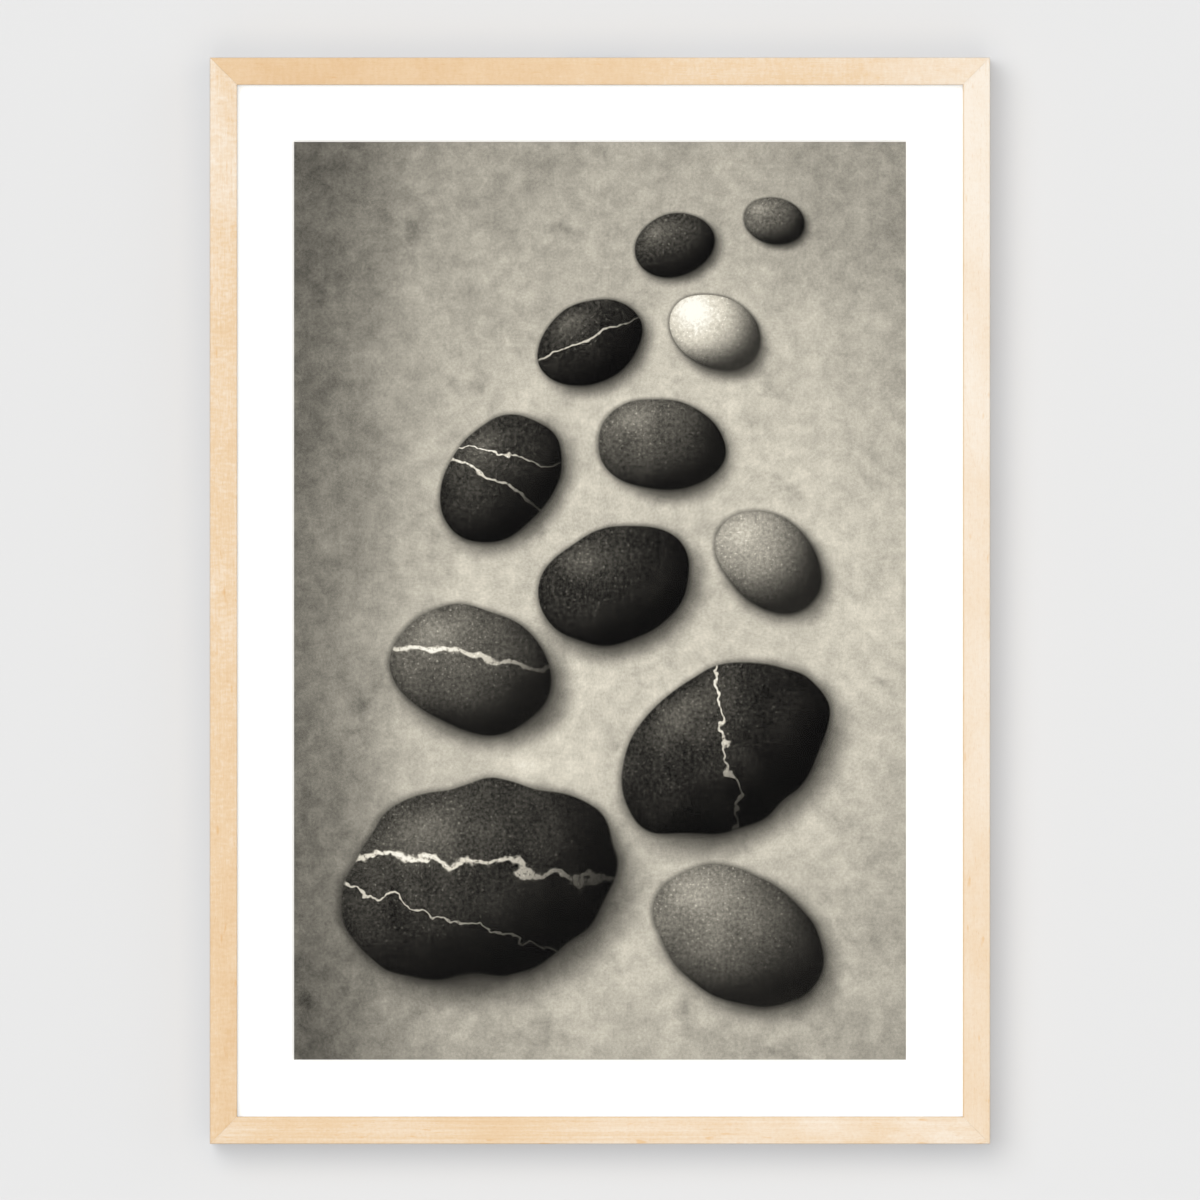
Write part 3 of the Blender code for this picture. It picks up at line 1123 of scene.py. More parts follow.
        cast = bench.vector_maths("LENGTH", bench.vector_maths("SUBTRACT", own, fall))
        under = base
        for distance, dark in ((cast, self.SHADOW), (radius, self.TOUCH)):
            shadow = bench.rescale(distance, *dark, 0.0)
            under = bench.maths("MULTIPLY", under, bench.maths("SUBTRACT", 1.0, shadow))
        return bench.fade(within, under, stone)

    def make(self) -> bpy.types.Material:
        """Lay the print's nodes.

        Returns:
            The finished material.
        """
        bench = Bench.start("pebble_print")
        place = bench.mapped(bench.place(), (0.0, 0.0, -self.centre))
        flat = bench.mapped(place, stretch=(1.0, 0.0, 1.0))
        bend = bench.noise(flat, self.BENDS, 1.0)
        ripple = bench.noise(flat, self.RIPPLES, 3.0, 0.55)
        speckle = bench.noise(flat, self.SPECKLES, 2.0, 0.65)
        salt = bench.rescale(bench.noise(flat, self.SALT_GRAINS, 0.0), 0.68, 0.80)
        tone = self.ground(bench, flat)
        for pebble in self.pebbles:
            tone = self.lay(bench, place, tone, pebble, (bend, ripple, speckle, salt))
        grain = bench.noise(flat, self.FILM_GRAIN, 1.0, 0.6)
        tone = bench.maths("MAXIMUM", bench.total(tone, (grain, 0.08)), self.DARKEST)
        light = bench.maths("POWER", tone, self.SCREEN_GAMMA)
        highlight = bench.rescale(tone, self.HIGHLIGHT_TONE, 1.0)
        tint = bench.blend(highlight, self.INK, self.HIGHLIGHT)
        tooth = bench.noise(place, self.TOOTH, 2.0)
        return bench.finish(
            Base_Color=bench.blend(light, (0.0, 0.0, 0.0), tint),
            Roughness=bench.total(0.72, (tooth, 0.15)),
            Normal=bench.relief(tooth, self.TOOTH_DEPTH),
            Specular_IOR_Level=0.05,
        )


@dataclass(frozen=True)
class Hardboard:
    """Pressed brown board, its back face marked by the press's mesh.

    Attributes:
        pitch: The mesh's spacing, in metres.
    """

    pitch: float = 0.0016

    DARK = (0.165, 0.085, 0.040)
    MID = (0.300, 0.175, 0.090)
    LIGHT = (0.430, 0.275, 0.155)
    MID_TONE = 0.5

    # The board's noises, as features for each metre
    FIBRES = (260.0, 260.0, 420.0)
    CROSS_FIBRES = (700.0, 260.0, 240.0)
    CROSS_SHIFT = (4.0, 0.0, 2.0)
    CLOUDS = 12.0
    RELIEF = 0.00025

    def make(self) -> bpy.types.Material:
        """Lay the board's nodes.

        The mesh's height is the product of a sine of X and a sine of Z.

        Returns:
            The finished material.
        """
        bench = Bench.start("hardboard")
        place = bench.place()
        x, _, z = bench.parts(place)
        fibres = bench.noise(bench.mapped(place, stretch=self.FIBRES), 1.0, 4.0, 0.65, 1.2)
        other_way = bench.mapped(place, self.CROSS_SHIFT, stretch=self.CROSS_FIBRES)
        cross = bench.noise(other_way, 1.0, 3.0, 0.6)
        cloud = bench.noise(place, self.CLOUDS, 4.0, 0.6)
        turn = 2.0 * pi / self.pitch
        mesh = bench.maths(
            "MULTIPLY",
            bench.maths("SINE", bench.maths("MULTIPLY", x, turn)),
            bench.maths("SINE", bench.maths("MULTIPLY", z, turn)),
        )
        tone = bench.total(0.5, (fibres, 1.1), (cross, 0.7), (cloud, 0.8))
        to_mid = bench.rescale(tone, 0.1, self.MID_TONE, soft=False)
        to_light = bench.rescale(tone, self.MID_TONE, 0.95, soft=False)
        colour = bench.blend(to_mid, self.DARK, self.MID)
        colour = bench.blend(to_light, colour, self.LIGHT)
        height = bench.maths("MULTIPLY_ADD", mesh, 0.35, bench.total(0.5, (fibres, 0.5)))
        return bench.finish(
            Base_Color=colour,
            Roughness=bench.total(0.70, (fibres, 0.3)),
            Normal=bench.relief(height, self.RELIEF, 0.8),
            Specular_IOR_Level=0.35,
        )


@dataclass(frozen=True)
class PlatedSteel:
    """Rolled steel under a thin plating, with fine scratches along it.

    Attributes:
        name: The material's name.
        colour: The plating's colour.
        tarnish: Its colour where it has dulled.
        roughness: How rough it is where it is bright.
    """

    name: str
    colour: tuple
    tarnish: tuple
    roughness: float

    # The plating's noises, as features for each metre, and what dulling adds
    SCRATCHES = (500.0, 6000.0, 6000.0)
    SCRATCH_DEPTH = 0.00001
    CLOUDS = 320.0
    DULLING = 0.18

    def make(self) -> bpy.types.Material:
        """Lay the metal's nodes.

        Returns:
            The finished material.
        """
        bench = Bench.start(self.name)
        place = bench.place()
        scratch = bench.noise(bench.mapped(place, stretch=self.SCRATCHES), 1.0, 2.0, 0.6)
        cloud = bench.noise(place, self.CLOUDS, 3.0, 0.6)
        dull = bench.rescale(bench.total(cloud, (scratch, 0.3)), 0.45, 0.75)
        roughness = bench.fade(dull, self.roughness, self.roughness + self.DULLING)
        return bench.finish(
            Base_Color=bench.blend(dull, self.colour, self.tarnish),
            Metallic=1.0,
            Roughness=bench.total(roughness, (scratch, 0.2)),
            Normal=bench.relief(scratch, self.SCRATCH_DEPTH),
        )


@dataclass(frozen=True)
class Felt:
    """Pressed grey-brown felt of matted fibres."""

    LIGHT = (0.47, 0.43, 0.37)
    DARK = (0.22, 0.20, 0.17)

    # The felt's noises, as features for each metre
    FIBRES = 2600.0
    FIBRE_DEPTH = 0.0002
    LUMPS = 700.0

    def make(self) -> bpy.types.Material:
        """Lay the felt's nodes.

        Returns:
            The finished material.
        """
        bench = Bench.start("felt")
        place = bench.place()
        fibre = bench.noise(place, self.FIBRES, 4.0, 0.7, 1.5)
        lump = bench.noise(place, self.LUMPS, 3.0)
        shade = bench.total(0.45, (fibre, 1.5), (lump, 0.7))
        return bench.finish(
            Base_Color=bench.blend(shade, self.LIGHT, self.DARK),
            Roughness=0.95,
            Normal=bench.relief(fibre, self.FIBRE_DEPTH),
            Sheen_Weight=0.4,
            Sheen_Roughness=0.5,
            Specular_IOR_Level=0.1,
        )


@dataclass
class Moulding:
    """The four mitred maple rails.

    Attributes:
        low: The lowest corner of the whole frame.
        high: Its highest corner.
        steps: How many steps each rounded edge has.
        stations: How many steps each rail has along it, a multiple of its strips.
        strips: How many strips of the bake map a rail is folded into.
    """

    low: np.ndarray
    high: np.ndarray
    steps: int = 8
    stations: int = 12
    strips: int = 3

    # Each rail's tones (partly painted light, paler towards the frame's right), curl, lines,
    # contrast and painted shade along the sight edge
    FIGURES = {
        Side.TOP: Figure((0.20, 0.37, 0.85), 0.35, 0.20, 0.85, 0.10),
        Side.RIGHT: Figure((0.67, 0.88, 1.10), 0.20, 0.35, 0.55, 0.70),
        Side.BOTTOM: Figure((0.50, 0.63, 0.84), 0.05, 0.80, 0.85, 0.25),
        Side.LEFT: Figure((0.34, 0.54, 0.78), 0.45, 0.25, 1.10, 0.0),
    }
    FIRST_SEED = 3.7
    SEED_STEP = 11.3
    CHAMFER_STEPS = 3

    # The bake map: the strips' height and margin, and where the two ends' caps lie
    STRIP_BAND = 0.318
    STRIP_MARGIN = 0.006
    CAP_BAND = 0.965
    CAP_HEIGHT = 0.98 - CAP_BAND
    CAP_STARTS = (0.01, 0.06)

    def section(self) -> np.ndarray:
        """Trace the moulding's section, from the rear of its outer side round to its rim.

        The lip reaches back to the glazing.

        Returns:
            Rows of the distance in from the frame's outer edge and the depth Y.
        """
        front, back = self.low[1], self.high[1]
        outer = arc((OUTER_ROUND, front + OUTER_ROUND), OUTER_ROUND, 180, 270, self.steps)
        inner_centre = (FACE_WIDTH - INNER_ROUND, front + INNER_ROUND)
        inner = arc(inner_centre, INNER_ROUND, 270, 360, self.steps)
        rim = FACE_WIDTH - RABBET_WIDTH
        lip_back = front + LIP_THICKNESS + CLEARANCE
        ease = BACK_CHAMFER / 2
        heel_centre = (BACK_CHAMFER, back - BACK_CHAMFER)
        heel = arc(heel_centre, BACK_CHAMFER, 90, 180, self.CHAMFER_STEPS)
        brow = arc((rim - ease, back - ease), ease, 0, 90, self.CHAMFER_STEPS)
        ledge = np.array([(FACE_WIDTH, lip_back), (rim, lip_back)])
        return np.concatenate([heel, outer, inner, ledge, brow])

    def rail(self, side: Side) -> Surface:
        """Carry the section along one side, between its two mitres.

        A section point that lies a distance d in from the outer edge runs along the rail
        from -(L / 2 - d) to L / 2 - d, where L is the side's outer length, so that both
        ends lie on the mitre planes. The rail is made as the top one, round the frame's
        middle, and turned about Y to its side.

        Args:
            side: Which side of the frame it is.

        Returns:
            The points, the faces and the bake map.
        """
        section = self.section()
        span = self.high - self.low
        length, reach = (span[2], span[0] / 2) if side.upright else (span[0], span[2] / 2)
        inward, depth = section[:, 0], section[:, 1]
        share = np.linspace(-1.0, 1.0, self.stations + 1)
        along = share[:, None] * (length / 2 - inward - MITRE_SETBACK)
        rise = np.broadcast_to(reach - inward, along.shape)
        deep = np.broadcast_to(depth, along.shape)
        angle = radians(side.value)
        centre = (self.low + self.high) / 2
        x = centre[0] + along * cos(angle) + rise * sin(angle)
        z = centre[2] - along * sin(angle) + rise * cos(angle)
        points = np.stack([x, deep, z], axis=-1).reshape(-1, 3)
        ring = len(section)
        quads = grid_quads(self.stations + 1, ring, wrap=True)
        last = np.arange(ring) + self.stations * ring
        faces = quads.tolist() + [np.arange(ring)[::-1].tolist(), last.tolist()]
        return points, faces, self.bake_map(section)

    def bake_map(self, section: np.ndarray) -> np.ndarray:
        """Fold a rail's skin into strips that fill the bake map.

        A quad's place along the rail sets which strip it is in and how far across the map
        it lies, and its share of the way round the section sets its height in that strip.

        Args:
            section: Rows of the section's points.

        Returns:
            Rows of the map's coordinates, one for each corner of each face.
        """
        ring = len(section)
        steps = np.linalg.norm(np.roll(section, -1, axis=0) - section, axis=1)
        around = np.concatenate([[0.0], np.cumsum(steps)]) / steps.sum()
        each = self.stations // self.strips
        i, j = np.meshgrid(np.arange(self.stations), np.arange(ring), indexing="ij")
        strip = i // each
        start = (i % each) / each
        corners = []
        for ahead, beyond in ((0, 0), (1, 0), (1, 1), (0, 1)):
            u = self.STRIP_MARGIN + (start + ahead / each) * (1.0 - 2.0 * self.STRIP_MARGIN)
            within = around[j + beyond] * (self.STRIP_BAND - 2.0 * self.STRIP_MARGIN)
            v = self.STRIP_MARGIN + strip * self.STRIP_BAND + within
            corners.append(np.stack([u, v], axis=-1))
        skin = np.stack(corners, axis=2).reshape(-1, 2)
        shape = (section - section.min(axis=0)) / np.ptp(section, axis=0).max()
        cap = shape * self.CAP_HEIGHT
        first = cap[::-1] + (self.CAP_STARTS[0], self.CAP_BAND)
        second = cap + (self.CAP_STARTS[1], self.CAP_BAND)
        return np.concatenate([skin, first, second])

    def build(self) -> None:
        """Build and dress the four rails."""
        for number, side in enumerate(Side):
            name = side.name.lower()
            axis, cross = (2, 0) if side.upright else (0, 2)
            beyond = side in (Side.TOP, Side.RIGHT)
            finish = Maple(
                name=f"maple_{name}",
                upright=side.upright,
                low=self.low[axis],
                high=self.high[axis],
                front=self.low[1],
                sight=self.high[cross] - FACE_WIDTH if beyond else self.low[cross] + FACE_WIDTH,
                figure=self.FIGURES[side],
                seed=self.FIRST_SEED + self.SEED_STEP * number,
            )
            add_piece(
                f"maple_rail_{name}",
                self.rail(side),
                finish.make(),
                replaces=[f"rail_{name}"],
                slot="maple",
            )


@dataclass
class Stack:
    """The sheets in the rabbet, from the glazing to the back panel.

    Attributes:
        centre: The Z of the picture's middle.
        cockle: How far the print's middle stands proud of its edges, in metres.
    """

    centre: float
    cockle: float = 0.00008

    # How far the window's bevel widens to the front, less what its edge may stray
    MAT_BEVEL = 0.0014 - 0.00002

    # The print's grid, and its front and back in the bake map
    COLUMNS = 16
    ROWS = 24
    MARGIN = 0.004
    FRONT_BAND = 0.965
    BACK_BAND = 0.975
    BACK_HEIGHT = 0.02

    # The design's stones, and the veins of the two that have more than one
    LOW_VEINS = ((62.0, 0.15, 0.050), (48.0, -0.42, 0.018))
    HIGH_VEINS = ((10.0, -0.10, 0.030), (24.0, 0.34, 0.016))
    PEBBLES = (
        Pebble(-0.080, -0.186, 0.090, 0.064, 14.0, 0.20, LOW_VEINS),
        Pebble(0.092, -0.222, 0.058, 0.042, -28.0, 0.40),
        Pebble(0.082, -0.098, 0.073, 0.051, 34.0, 0.17, ((-20.0, 0.05, 0.022),)),
        Pebble(-0.084, -0.046, 0.055, 0.041, -16.0, 0.32, ((100.0, 0.20, 0.060),)),
        Pebble(0.010, 0.010, 0.052, 0.038, 24.0, 0.17),
        Pebble(0.112, 0.026, 0.038, 0.030, -40.0, 0.52),
        Pebble(-0.066, 0.082, 0.047, 0.034, 48.0, 0.19, HIGH_VEINS),
        Pebble(0.040, 0.104, 0.041, 0.031, -8.0, 0.30),
        Pebble(-0.006, 0.172, 0.036, 0.027, 30.0, 0.16, ((80.0, 0.10, 0.036),)),
        Pebble(0.076, 0.178, 0.031, 0.024, -30.0, 0.78),
        Pebble(0.050, 0.236, 0.027, 0.020, 16.0, 0.22),
        Pebble(0.116, 0.252, 0.020, 0.015, -12.0, 0.36),
    )

    def print_sheet(self) -> Surface:
        """Shape the printed sheet, whose middle stands a little forward.

        At the shares u across and v up, its depth is the sheet's front less the cockle
        times sin(pi u) sin(pi v). Its front face fills nearly the whole bake map.

        Returns:
            The points, the faces and the bake map.
        """
        low, high = node_bounds("print_sheet")
        shares = [np.linspace(0.0, 1.0, count + 1) for count in (self.COLUMNS, self.ROWS)]
        u, v = np.meshgrid(*shares, indexing="ij")
        x = low[0] + u * (high[0] - low[0])
        z = low[2] + v * (high[2] - low[2])
        lift = self.cockle * np.sin(pi * u) * np.sin(pi * v)
        front = np.stack([x, low[1] - lift, z], axis=-1)
        back = np.stack([x, high[1] - lift, z], axis=-1)
        points, faces, _ = closed_sheet(front, back)
        across = self.MARGIN + u * (1.0 - 2.0 * self.MARGIN)
        ahead = np.stack([across, self.MARGIN + v * (self.FRONT_BAND - self.MARGIN)], axis=-1)
        behind = np.stack([across, self.BACK_BAND + v * self.BACK_HEIGHT], axis=-1)
        flat = np.concatenate([ahead.reshape(-1, 2), behind.reshape(-1, 2)])
        corners = np.array(faces)
        sheets = 2 * self.COLUMNS * self.ROWS
        corners[sheets:] = corners[sheets:] % u.size + u.size
        return points, faces, flat[corners].reshape(-1, 2)

    def build(self) -> None:
        """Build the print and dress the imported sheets."""
        art = PebblePrint(self.centre, self.PEBBLES)
        add_piece(
            "pebble_print",
            self.print_sheet(),
            art.make(),
            replaces=["print_sheet"],
            slot="print_paper",
        )
        dress("glazing", Glazing().make())
        half_width = WINDOW_WIDTH / 2 + self.MAT_BEVEL
        half_height = WINDOW_HEIGHT / 2 + self.MAT_BEVEL
        dress("mat_board", MatBoard(half_width, half_height, self.centre).make())
        tape = Paper("hinge_tape", (0.84, 0.80, 0.70), (0.70, 0.65, 0.54), 900.0).make()
        dress("hinge_tape_left", tape)
        dress("hinge_tape_right", tape)
        board = Paper("mount_board", (0.87, 0.86, 0.83), (0.78, 0.76, 0.71))
        dress("mount_board", board.make())
        dress("back_panel", Hardboard().make())


@dataclass
class Fixings:
    """The framer's points and the V-nails, driven tight into the rails.

    Attributes:
        finish: The zinc plating that they share.
        back: The depth of the frame's rear face.
    """

    finish: bpy.types.Material
    back: float

    POINTS_UPRIGHT = 4
    POINTS_LEVEL = 3

    # A point's rib, and the shares of its length where its tail, barb and rib lie
    POINT_RIB = 0.00022
    RIB_WIDTH = 0.30
    TAIL = 0.17
    TAIL_TIP = 0.004
    BARB = 5.0 / 6.0
    BARB_STEPS = (0.9, 0.96, 0.99)
    RIB_START = (0.02, 0.12)
    RIB_END = (0.50, 0.62)
    POINT_BEVEL = 0.00008

    NAIL_BEVEL = 0.0001
    NAIL_PROUD = 0.00005
    NAIL_DEPTH = 0.010
    NAIL_LEG = 0.0036
    NAIL_THICKNESS = 0.0006
    NAIL_INSETS = (0.0025, 0.0062)

    # The frame's corners, with the sides of the middle on which they lie along X and Z
    CORNERS = {
        "top_left": (-1, 1),
        "top_right": (1, 1),
        "bottom_right": (1, -1),
        "bottom_left": (-1, -1),
    }

    def point(self, node: str, side: Side) -> Surface:
        """Shape one flexible point: a thin tongue with a pressed rib and a pointed barb.

        At the share u of the way from the tail to the barb's tip, the half width is the
        full half width times sqrt(1 - (1 - u / T)^2) over the rounded tail, which ends at
        T, and falls in a straight line over the barb. The rib's height is a bell curve
        across the tongue and fades out at both ends.

        Args:
            node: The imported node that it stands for.
            side: The side of the frame whose rail holds it.

        Returns:
            The points, the faces and no map.
        """
        low, high = node_bounds(node)
        middle = (low + high) / 2
        span = high - low
        length, width = (span[0], span[2]) if side.upright else (span[2], span[0])
        tail = np.linspace(self.TAIL_TIP, self.TAIL, 8)
        body = np.linspace(self.TAIL, self.BARB, 14)[1:]
        u = np.concatenate([tail, body, self.BARB_STEPS])
        short_of = np.clip(1.0 - u / self.TAIL, 0.0, 1.0)
        round_tail = np.sqrt(1.0 - short_of**2)
        barb = np.clip((1.0 - u) / (1.0 - self.BARB), 0.02, 1.0)
        half = width / 2 * round_tail * barb
        v = np.linspace(-1.0, 1.0, 13)
        across = half[:, None] * v
        up = np.broadcast_to(((u - 0.5) * length)[:, None], across.shape)
        fade = smoothstep(u, *self.RIB_START) * (1.0 - smoothstep(u, *self.RIB_END))
        rib = self.POINT_RIB * fade[:, None] * np.exp(-((v / self.RIB_WIDTH) ** 2))
        angle = radians(side.value)
        x = middle[0] + across * cos(angle) + up * sin(angle)
        z = middle[2] - across * sin(angle) + up * cos(angle)
        front = np.stack([x, low[1] - CLEARANCE + rib, z], axis=-1)
        back = np.stack([x, high[1] - CLEARANCE + rib, z], axis=-1)
        return closed_sheet(front, back)

    def v_nail(self, corner: tuple[float, float], signs: tuple[int, int], inset: float) -> Surface:
        """Shape one V-nail, its bend towards the frame's outer corner.

        Args:
            corner: The frame's outer corner, as X and Z.
            signs: The corner's side along X and along Z.
            inset: How far in along both rails the bend lies.

        Returns:
            The points, the faces and no map.
        """
        near, inner, far = inset, inset + self.NAIL_THICKNESS, inset + self.NAIL_LEG
        leg = [(near, near), (far, near), (far, inner), (inner, inner)]
        outline = np.array(leg + [(inner, far), (near, far)])
        outline = np.array(corner) - outline * np.array(signs)
        top = self.back + self.NAIL_PROUD
        return plate(outline, top - self.NAIL_DEPTH, top)

    def build(self, low: np.ndarray, high: np.ndarray) -> None:
        """Build every point and V-nail.

        Args:
            low: The lowest corner of the whole frame.
            high: Its highest corner.
        """
        for side in Side:
            count = self.POINTS_UPRIGHT if side.upright else self.POINTS_LEVEL
            for number in range(1, count + 1):
                node = f"point_{side.name.lower()}_{number}"
                surface = self.point(node, side)
                self.add(f"framers_{node}", surface, node, self.POINT_BEVEL)
        for name, (side_x, side_z) in self.CORNERS.items():
            corner = (high[0] if side_x > 0 else low[0], high[2] if side_z > 0 else low[2])
            for number, inset in enumerate(self.NAIL_INSETS, start=1):
                node = f"v_nail_{name}_{number}"
                surface = self.v_nail(corner, (side_x, side_z), inset)
                self.add(f"driven_{node}", surface, node, self.NAIL_BEVEL)

    def add(self, name: str, surface: Surface, node: str, bevel: float) -> None:
        """Add one fixing, in the plating that they share."""
        add_piece(name, surface, self.finish, [node], "zinc_steel", bevel=bevel)


@dataclass
class Hanger:
    """The toothed hanging plate, its two nails and the wall pads below.

    Attributes:
        finish: The brassed steel of the plate and nails.
        length: The plate's length.
        height: Its height.
        thickness: Its thickness.
        step_inner: Where the raised middle ends.
        step_outer: Where the flat ends begin.
        corner: The radius of its end corners.
        rest: The depth of the flat ends' rear face.
    """

    finish: bpy.types.Material
    length: float = 0.062
    height: float = 0.0095
    thickness: float = 0.0008
    step_inner: float = 0.0225
    step_outer: float = 0.0250
    corner: float = 0.002
    rest: float = -0.0019 - CLEARANCE

    LENGTH_POINTS = 249
    HEIGHT_POINTS = 15
    STEP_EASE = 0.0004
    PLATE_BEVEL = 0.0001
    TOOTH_PITCH = 0.003
    TOOTH_DEPTH = 0.0016
    TOOTH_REACH = 0.0195
    BEAD_DEPTH = 0.00025
    BEAD_RISE = 0.0018
    BEAD_WIDTH = 0.0011
    BEAD_END = (0.0165, 0.0195)

    NAIL_SIDES = 36
    DOME_HEIGHT = 0.00065
    DOME_STEPS = 8
    HEAD_SKIRT = 0.00025
    SHANK_RADIUS = 0.0007
    SHANK_TIP = 0.002
    PAD_SIDES = 48
    PAD_EASE = 0.0011
    PAD_STEPS = 6

    def plate(self) -> Surface:
        """Shape the plate from its length u and the share v of its height.

        The rear face's depth eases from the wall at the raised middle to the flat ends.
        The lower edge rises by the tooth depth times 1 - |2 frac(u / pitch) - 1| between
        the tips. At the ends both edges draw in along a quarter circle. A shallow bead,
        a bell curve across the height, is pressed along the raised middle.

        Returns:
            The points, the faces and no map.
        """
        half = self.length / 2
        u = np.linspace(-half, half, self.LENGTH_POINTS)
        reach = np.abs(u)
        into_corner = np.clip((reach - (half - self.corner)) / self.corner, 0.0, 0.995)
        draw_in = self.corner * (1.0 - np.sqrt(1.0 - into_corner**2))
        phase = u / self.TOOTH_PITCH
        notch = 1.0 - np.abs(2.0 * (phase - np.floor(phase)) - 1.0)
        past_teeth = (reach - self.TOOTH_REACH) / (self.step_inner - self.TOOTH_REACH)
        past = np.clip(past_teeth, 0.0, 1.0)
        rise = self.TOOTH_DEPTH * np.where(reach < self.TOOTH_REACH, notch, 1.0 - past)
        foot = -self.height / 2 + rise + draw_in
        head = self.height / 2 - draw_in
        v = np.linspace(0.0, 1.0, self.HEIGHT_POINTS)
        x = np.broadcast_to(u[:, None], (len(u), len(v)))
        z = foot[:, None] + (head - foot)[:, None] * v
        step = (self.step_inner - self.STEP_EASE, self.step_outer + self.STEP_EASE)
        back = self.rest * smoothstep(reach, *step)
        along = 1.0 - smoothstep(reach, *self.BEAD_END)
        bell = np.exp(-(((z - self.BEAD_RISE) / self.BEAD_WIDTH) ** 2))
        bead = self.BEAD_DEPTH * along[:, None] * bell
        rear = np.stack([x, back[:, None] - bead, z], axis=-1)
        front = rear - np.array([0.0, self.thickness, 0.0])
        return closed_sheet(front, rear)

    def nail(self, node: str) -> Surface:
        """Turn a nail with a domed head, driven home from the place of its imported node.

        The dome's radius is R sin t and its depth falls by H (1 - cos t), for t from 0
        to 90 degrees. Below it come the shank and a tapered tip.

        Args:
            node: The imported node's name.

        Returns:
            The points, the faces and no map.
        """
        driven = np.array([0.0, 2.0 * CLEARANCE, 0.0])
        low, high = (corner - driven for corner in node_bounds(node))
        radius = (high[0] - low[0]) / 2
        t = np.radians(np.linspace(0.0, 90.0, self.DOME_STEPS + 1))
        dome = high[1] - self.DOME_HEIGHT * (1.0 - np.cos(t))
        head = np.stack([radius * np.sin(t), dome], axis=-1)
        seat = high[1] - self.DOME_HEIGHT - self.HEAD_SKIRT
        shank = [(self.SHANK_RADIUS, depth) for depth in (seat, low[1] + self.SHANK_TIP)]
        profile = np.concatenate([head, [(radius, seat), *shank, (0.0, low[1])]])
        centre = ((low[0] + high[0]) / 2, (low[2] + high[2]) / 2)
        return turned(profile, centre, self.NAIL_SIDES)

    def pad(self, node: str) -> Surface:
        """Turn a wall pad with a soft rim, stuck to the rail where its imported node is.

        The rim's radius is the pad's less e (1 - cos t) and its depth falls by
        e (1 - sin t), for t from 90 degrees to 0, where e is the rim's ease.

        Args:
            node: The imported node's name.

        Returns:
            The points, the faces and no map.
        """
        low, high = node_bounds(node)
        radius = (high[0] - low[0]) / 2
        t = np.radians(np.linspace(90.0, 0.0, self.PAD_STEPS + 1))
        inward = self.PAD_EASE * (1.0 - np.cos(t))
        sunk = self.PAD_EASE * (1.0 - np.sin(t))
        rim = np.stack([radius - inward, high[1] - sunk], axis=-1)
        seat = low[1] - CLEARANCE
        profile = np.concatenate([[(0.0, high[1])], rim, [(radius, seat), (0.0, seat)]])
        centre = ((low[0] + high[0]) / 2, (low[2] + high[2]) / 2)
        return turned(profile, centre, self.PAD_SIDES)

    def build(self) -> None:
        """Build the plate, its nails and the two pads."""
        add_piece(
            "hanging_plate",
            self.plate(),
            self.finish,
            replaces=["hanger"],
            slot="brassed_steel",
            bevel=self.PLATE_BEVEL,
        )
        felt = Felt().make()
        for side in ("left", "right"):
            node = f"hanger_nail_{side}"
            add_piece(f"domed_{node}", self.nail(node), self.finish, [node], "brassed_steel")
            node = f"bumper_{side}"
            add_piece(f"felt_{node}", self.pad(node), felt, [node], "felt")


@dataclass(frozen=True)
class Lamp:
    """A broad, far lamp.

    Attributes:
        name: The lamp's name.
        towards: The direction from the picture to the lamp.
        energy: Its strength, in watts a square metre.
        spread: The angle that it fills, in degrees.
        mirrored: Whether glossy surfaces show it.
    """

    name: str
    towards: tuple[float, float, float]
    energy: float
    spread: float
    mirrored: bool = False

    def add(self) -> None:
        """Add the lamp to the scene, turned so that it shines from its direction."""
        data = bpy.data.lights.new(self.name, "SUN")
        data.energy = self.energy
        data.angle = radians(self.spread)
        lamp = bpy.data.objects.new(self.name, data)
        x, y, z = self.towards
        lamp.rotation_euler = (atan2(sqrt(x * x + y * y), z), 0.0, atan2(y, x) + pi / 2)
        lamp.visible_glossy = self.mirrored
        bpy.context.scene.collection.objects.link(lamp)


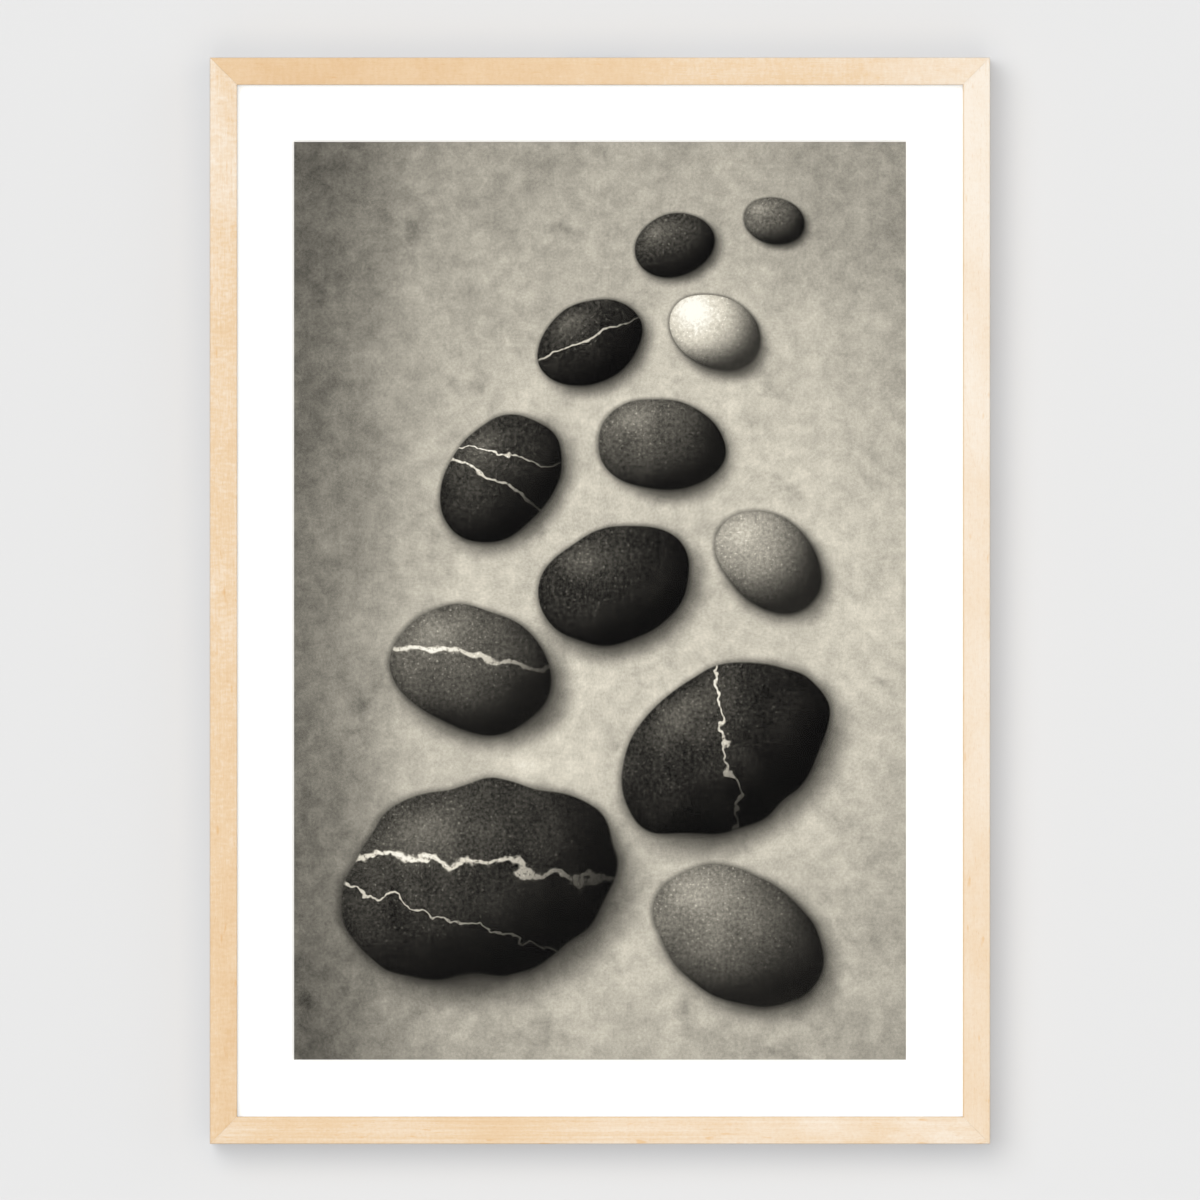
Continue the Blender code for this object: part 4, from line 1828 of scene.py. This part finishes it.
@dataclass
class Studio:
    """The wall, the floor, the lights and the camera.

    Attributes:
        low: The lowest corner of the picture.
        high: Its highest corner.
        lens: The camera's focal length, in millimetres.
        field: The height that the camera takes in at the picture's front, in metres.
    """

    low: np.ndarray
    high: np.ndarray
    lens: float = 500.0
    field: float = 0.7964

    SENSOR = 36.0
    CAMERA_RISE = 0.0005

    # The wall's face lies just behind the hanging plate, and near the frame its paint holds a
    # painted shade
    WALL_Y = 0.0004
    WALL_REACH = 14.0
    WALL_PAINT = (0.566, 0.566, 0.566)
    NEAR_PAINTED_SHADE = (0.410, 0.450, 0.505)
    SHADE_REACH = 0.024
    SHADE_SAMPLES = 16

    FLOOR_Z = -1.25
    FLOOR_REACH = 40.0
    FLOOR_PAINT = (0.82, 0.82, 0.815)
    FLOOR_SHADE = (0.78, 0.78, 0.775)
    FLOOR_GLOW = 0.28

    # How bright the surroundings are as light, in glossy surfaces and to the camera
    AMBIENT = 0.26
    MIRRORED = 0.45
    BACKGROUND = 0.83

    LAMPS = (
        Lamp("front", (0.0, -1.0, 0.0), 1.84, 8.0),
        Lamp("key", (-0.46, -1.0, 0.38), 1.70, 50.0),
        Lamp("side_fill", (0.95, -0.18, 0.25), 0.66, 60.0),
        Lamp("floor_bounce", (0.10, -0.70, -0.70), 0.46, 70.0),
        Lamp("back_fill", (0.10, 1.0, 0.15), 2.4, 110.0, mirrored=True),
    )

    def wall_material(self) -> bpy.types.Material:
        """Lay a pale wall with painted shade near the frame, which shows from the front alone, so
        the back can be seen.

        Returns:
            The finished material.
        """
        bench = Bench.start("wall_paint")
        diffuse = bench.add("ShaderNodeBsdfDiffuse")
        # Painted shade: the paint darkens, a little blue, where the frame is near
        painted_frame_shade = bench.add("ShaderNodeAmbientOcclusion", samples=self.SHADE_SAMPLES)
        bench.feed(painted_frame_shade.inputs["Distance"], self.SHADE_REACH)
        paint = bench.blend(painted_frame_shade.outputs["AO"], self.NEAR_PAINTED_SHADE, self.WALL_PAINT)
        bench.feed(diffuse.inputs["Color"], paint)
        clear = bench.add("ShaderNodeBsdfTransparent")
        behind = bench.add("ShaderNodeNewGeometry").outputs["Backfacing"]
        mix = bench.add("ShaderNodeMixShader")
        bench.feed_each(mix.inputs, (behind, diffuse.outputs[0], clear.outputs[0]))
        return bench.close(mix.outputs[0])

    def floor_material(self) -> bpy.types.Material:
        """Lay a plain pale floor.

        Returns:
            The finished material.
        """
        bench = Bench.start("floor_paint")
        cloud = bench.noise(bench.place(), 1.5, 2.0)
        colour = bench.blend(cloud, self.FLOOR_SHADE, self.FLOOR_PAINT)
        return bench.finish(
            Base_Color=colour,
            Roughness=0.8,
            Emission_Color=colour,
            Emission_Strength=self.FLOOR_GLOW,
        )

    def add_backdrop(
        self,
        name: str,
        reach: float,
        low: float,
        across: int,
        depth: float,
        paint: bpy.types.Material,
    ) -> None:
        """Add a flat backdrop, which the camera sees and nothing else does.

        Args:
            name: The backdrop's name.
            reach: How far it goes to both sides and to its far edge.
            low: Where its near edge is.
            across: The axis that it lies square to: 1 for Y and 2 for Z.
            depth: Its place on that axis.
            paint: Its finish.
        """
        outline = np.array([(-reach, low), (reach, low), (reach, reach), (-reach, reach)])
        corners = np.insert(outline, across, depth, axis=1)
        backdrop = add_piece(name, (corners, [[0, 1, 2, 3]], None), paint)
        backdrop.visible_diffuse = False
        backdrop.visible_glossy = False
        backdrop.visible_transmission = False
        backdrop.visible_shadow = False

    def build_room(self) -> None:
        """Build the wall behind the picture and the floor below it."""
        wall, floor = self.wall_material(), self.floor_material()
        self.add_backdrop("wall", self.WALL_REACH, self.FLOOR_Z, 1, self.WALL_Y, wall)
        self.add_backdrop("floor", self.FLOOR_REACH, -self.FLOOR_REACH, 2, self.FLOOR_Z, floor)

    def build_lights(self) -> None:
        """Build the lamps and the pale surroundings."""
        for lamp in self.LAMPS:
            lamp.add()
        world = bpy.data.worlds.new("surroundings")
        world.use_nodes = True
        bench = Bench(world)
        rays = bench.add("ShaderNodeLightPath").outputs
        strength = bench.fade(rays["Is Glossy Ray"], self.AMBIENT, self.MIRRORED)
        strength = bench.fade(rays["Is Camera Ray"], strength, self.BACKGROUND)
        background = world.node_tree.nodes["Background"].inputs
        bench.feed(background["Strength"], strength)
        bench.feed(background["Color"], (1.0, 1.0, 1.0))
        bpy.context.scene.world = world

    def build_camera(self) -> None:
        """Place the camera square on to the picture, a little above its middle."""
        data = bpy.data.cameras.new("camera")
        data.lens = self.lens
        data.sensor_width = self.SENSOR
        camera = bpy.data.objects.new("camera", data)
        centre = (self.low + self.high) / 2
        distance = self.field * self.lens / self.SENSOR
        camera.location = (centre[0], self.low[1] - distance, centre[2] + self.CAMERA_RISE)
        camera.rotation_euler = (pi / 2, 0.0, 0.0)
        bpy.context.scene.collection.objects.link(camera)
        bpy.context.scene.camera = camera

    def build(self) -> None:
        """Build the room, the lights and the camera."""
        self.build_room()
        self.build_lights()
        self.build_camera()
        bpy.context.scene.view_settings.view_transform = "Standard"
        LOG.info("studio: wall, floor, lights and camera")


def main() -> None:
    """Build the dressed picture, from the studio to the last fixing."""
    logging.basicConfig(level=logging.INFO, format="%(message)s")
    low, high = node_bounds("rail_top", "rail_bottom", "rail_left", "rail_right")
    Studio(low, high).build()
    Moulding(low, high).build()
    Stack((low[2] + high[2]) / 2).build()
    zinc = PlatedSteel("zinc_plate", (0.60, 0.61, 0.63), (0.40, 0.41, 0.42), 0.30)
    Fixings(zinc.make(), high[1]).build(low, high)
    brass = PlatedSteel("brassed_steel", (0.78, 0.60, 0.30), (0.50, 0.37, 0.18), 0.27)
    Hanger(brass.make()).build()


if __name__ == "__main__":
    main()
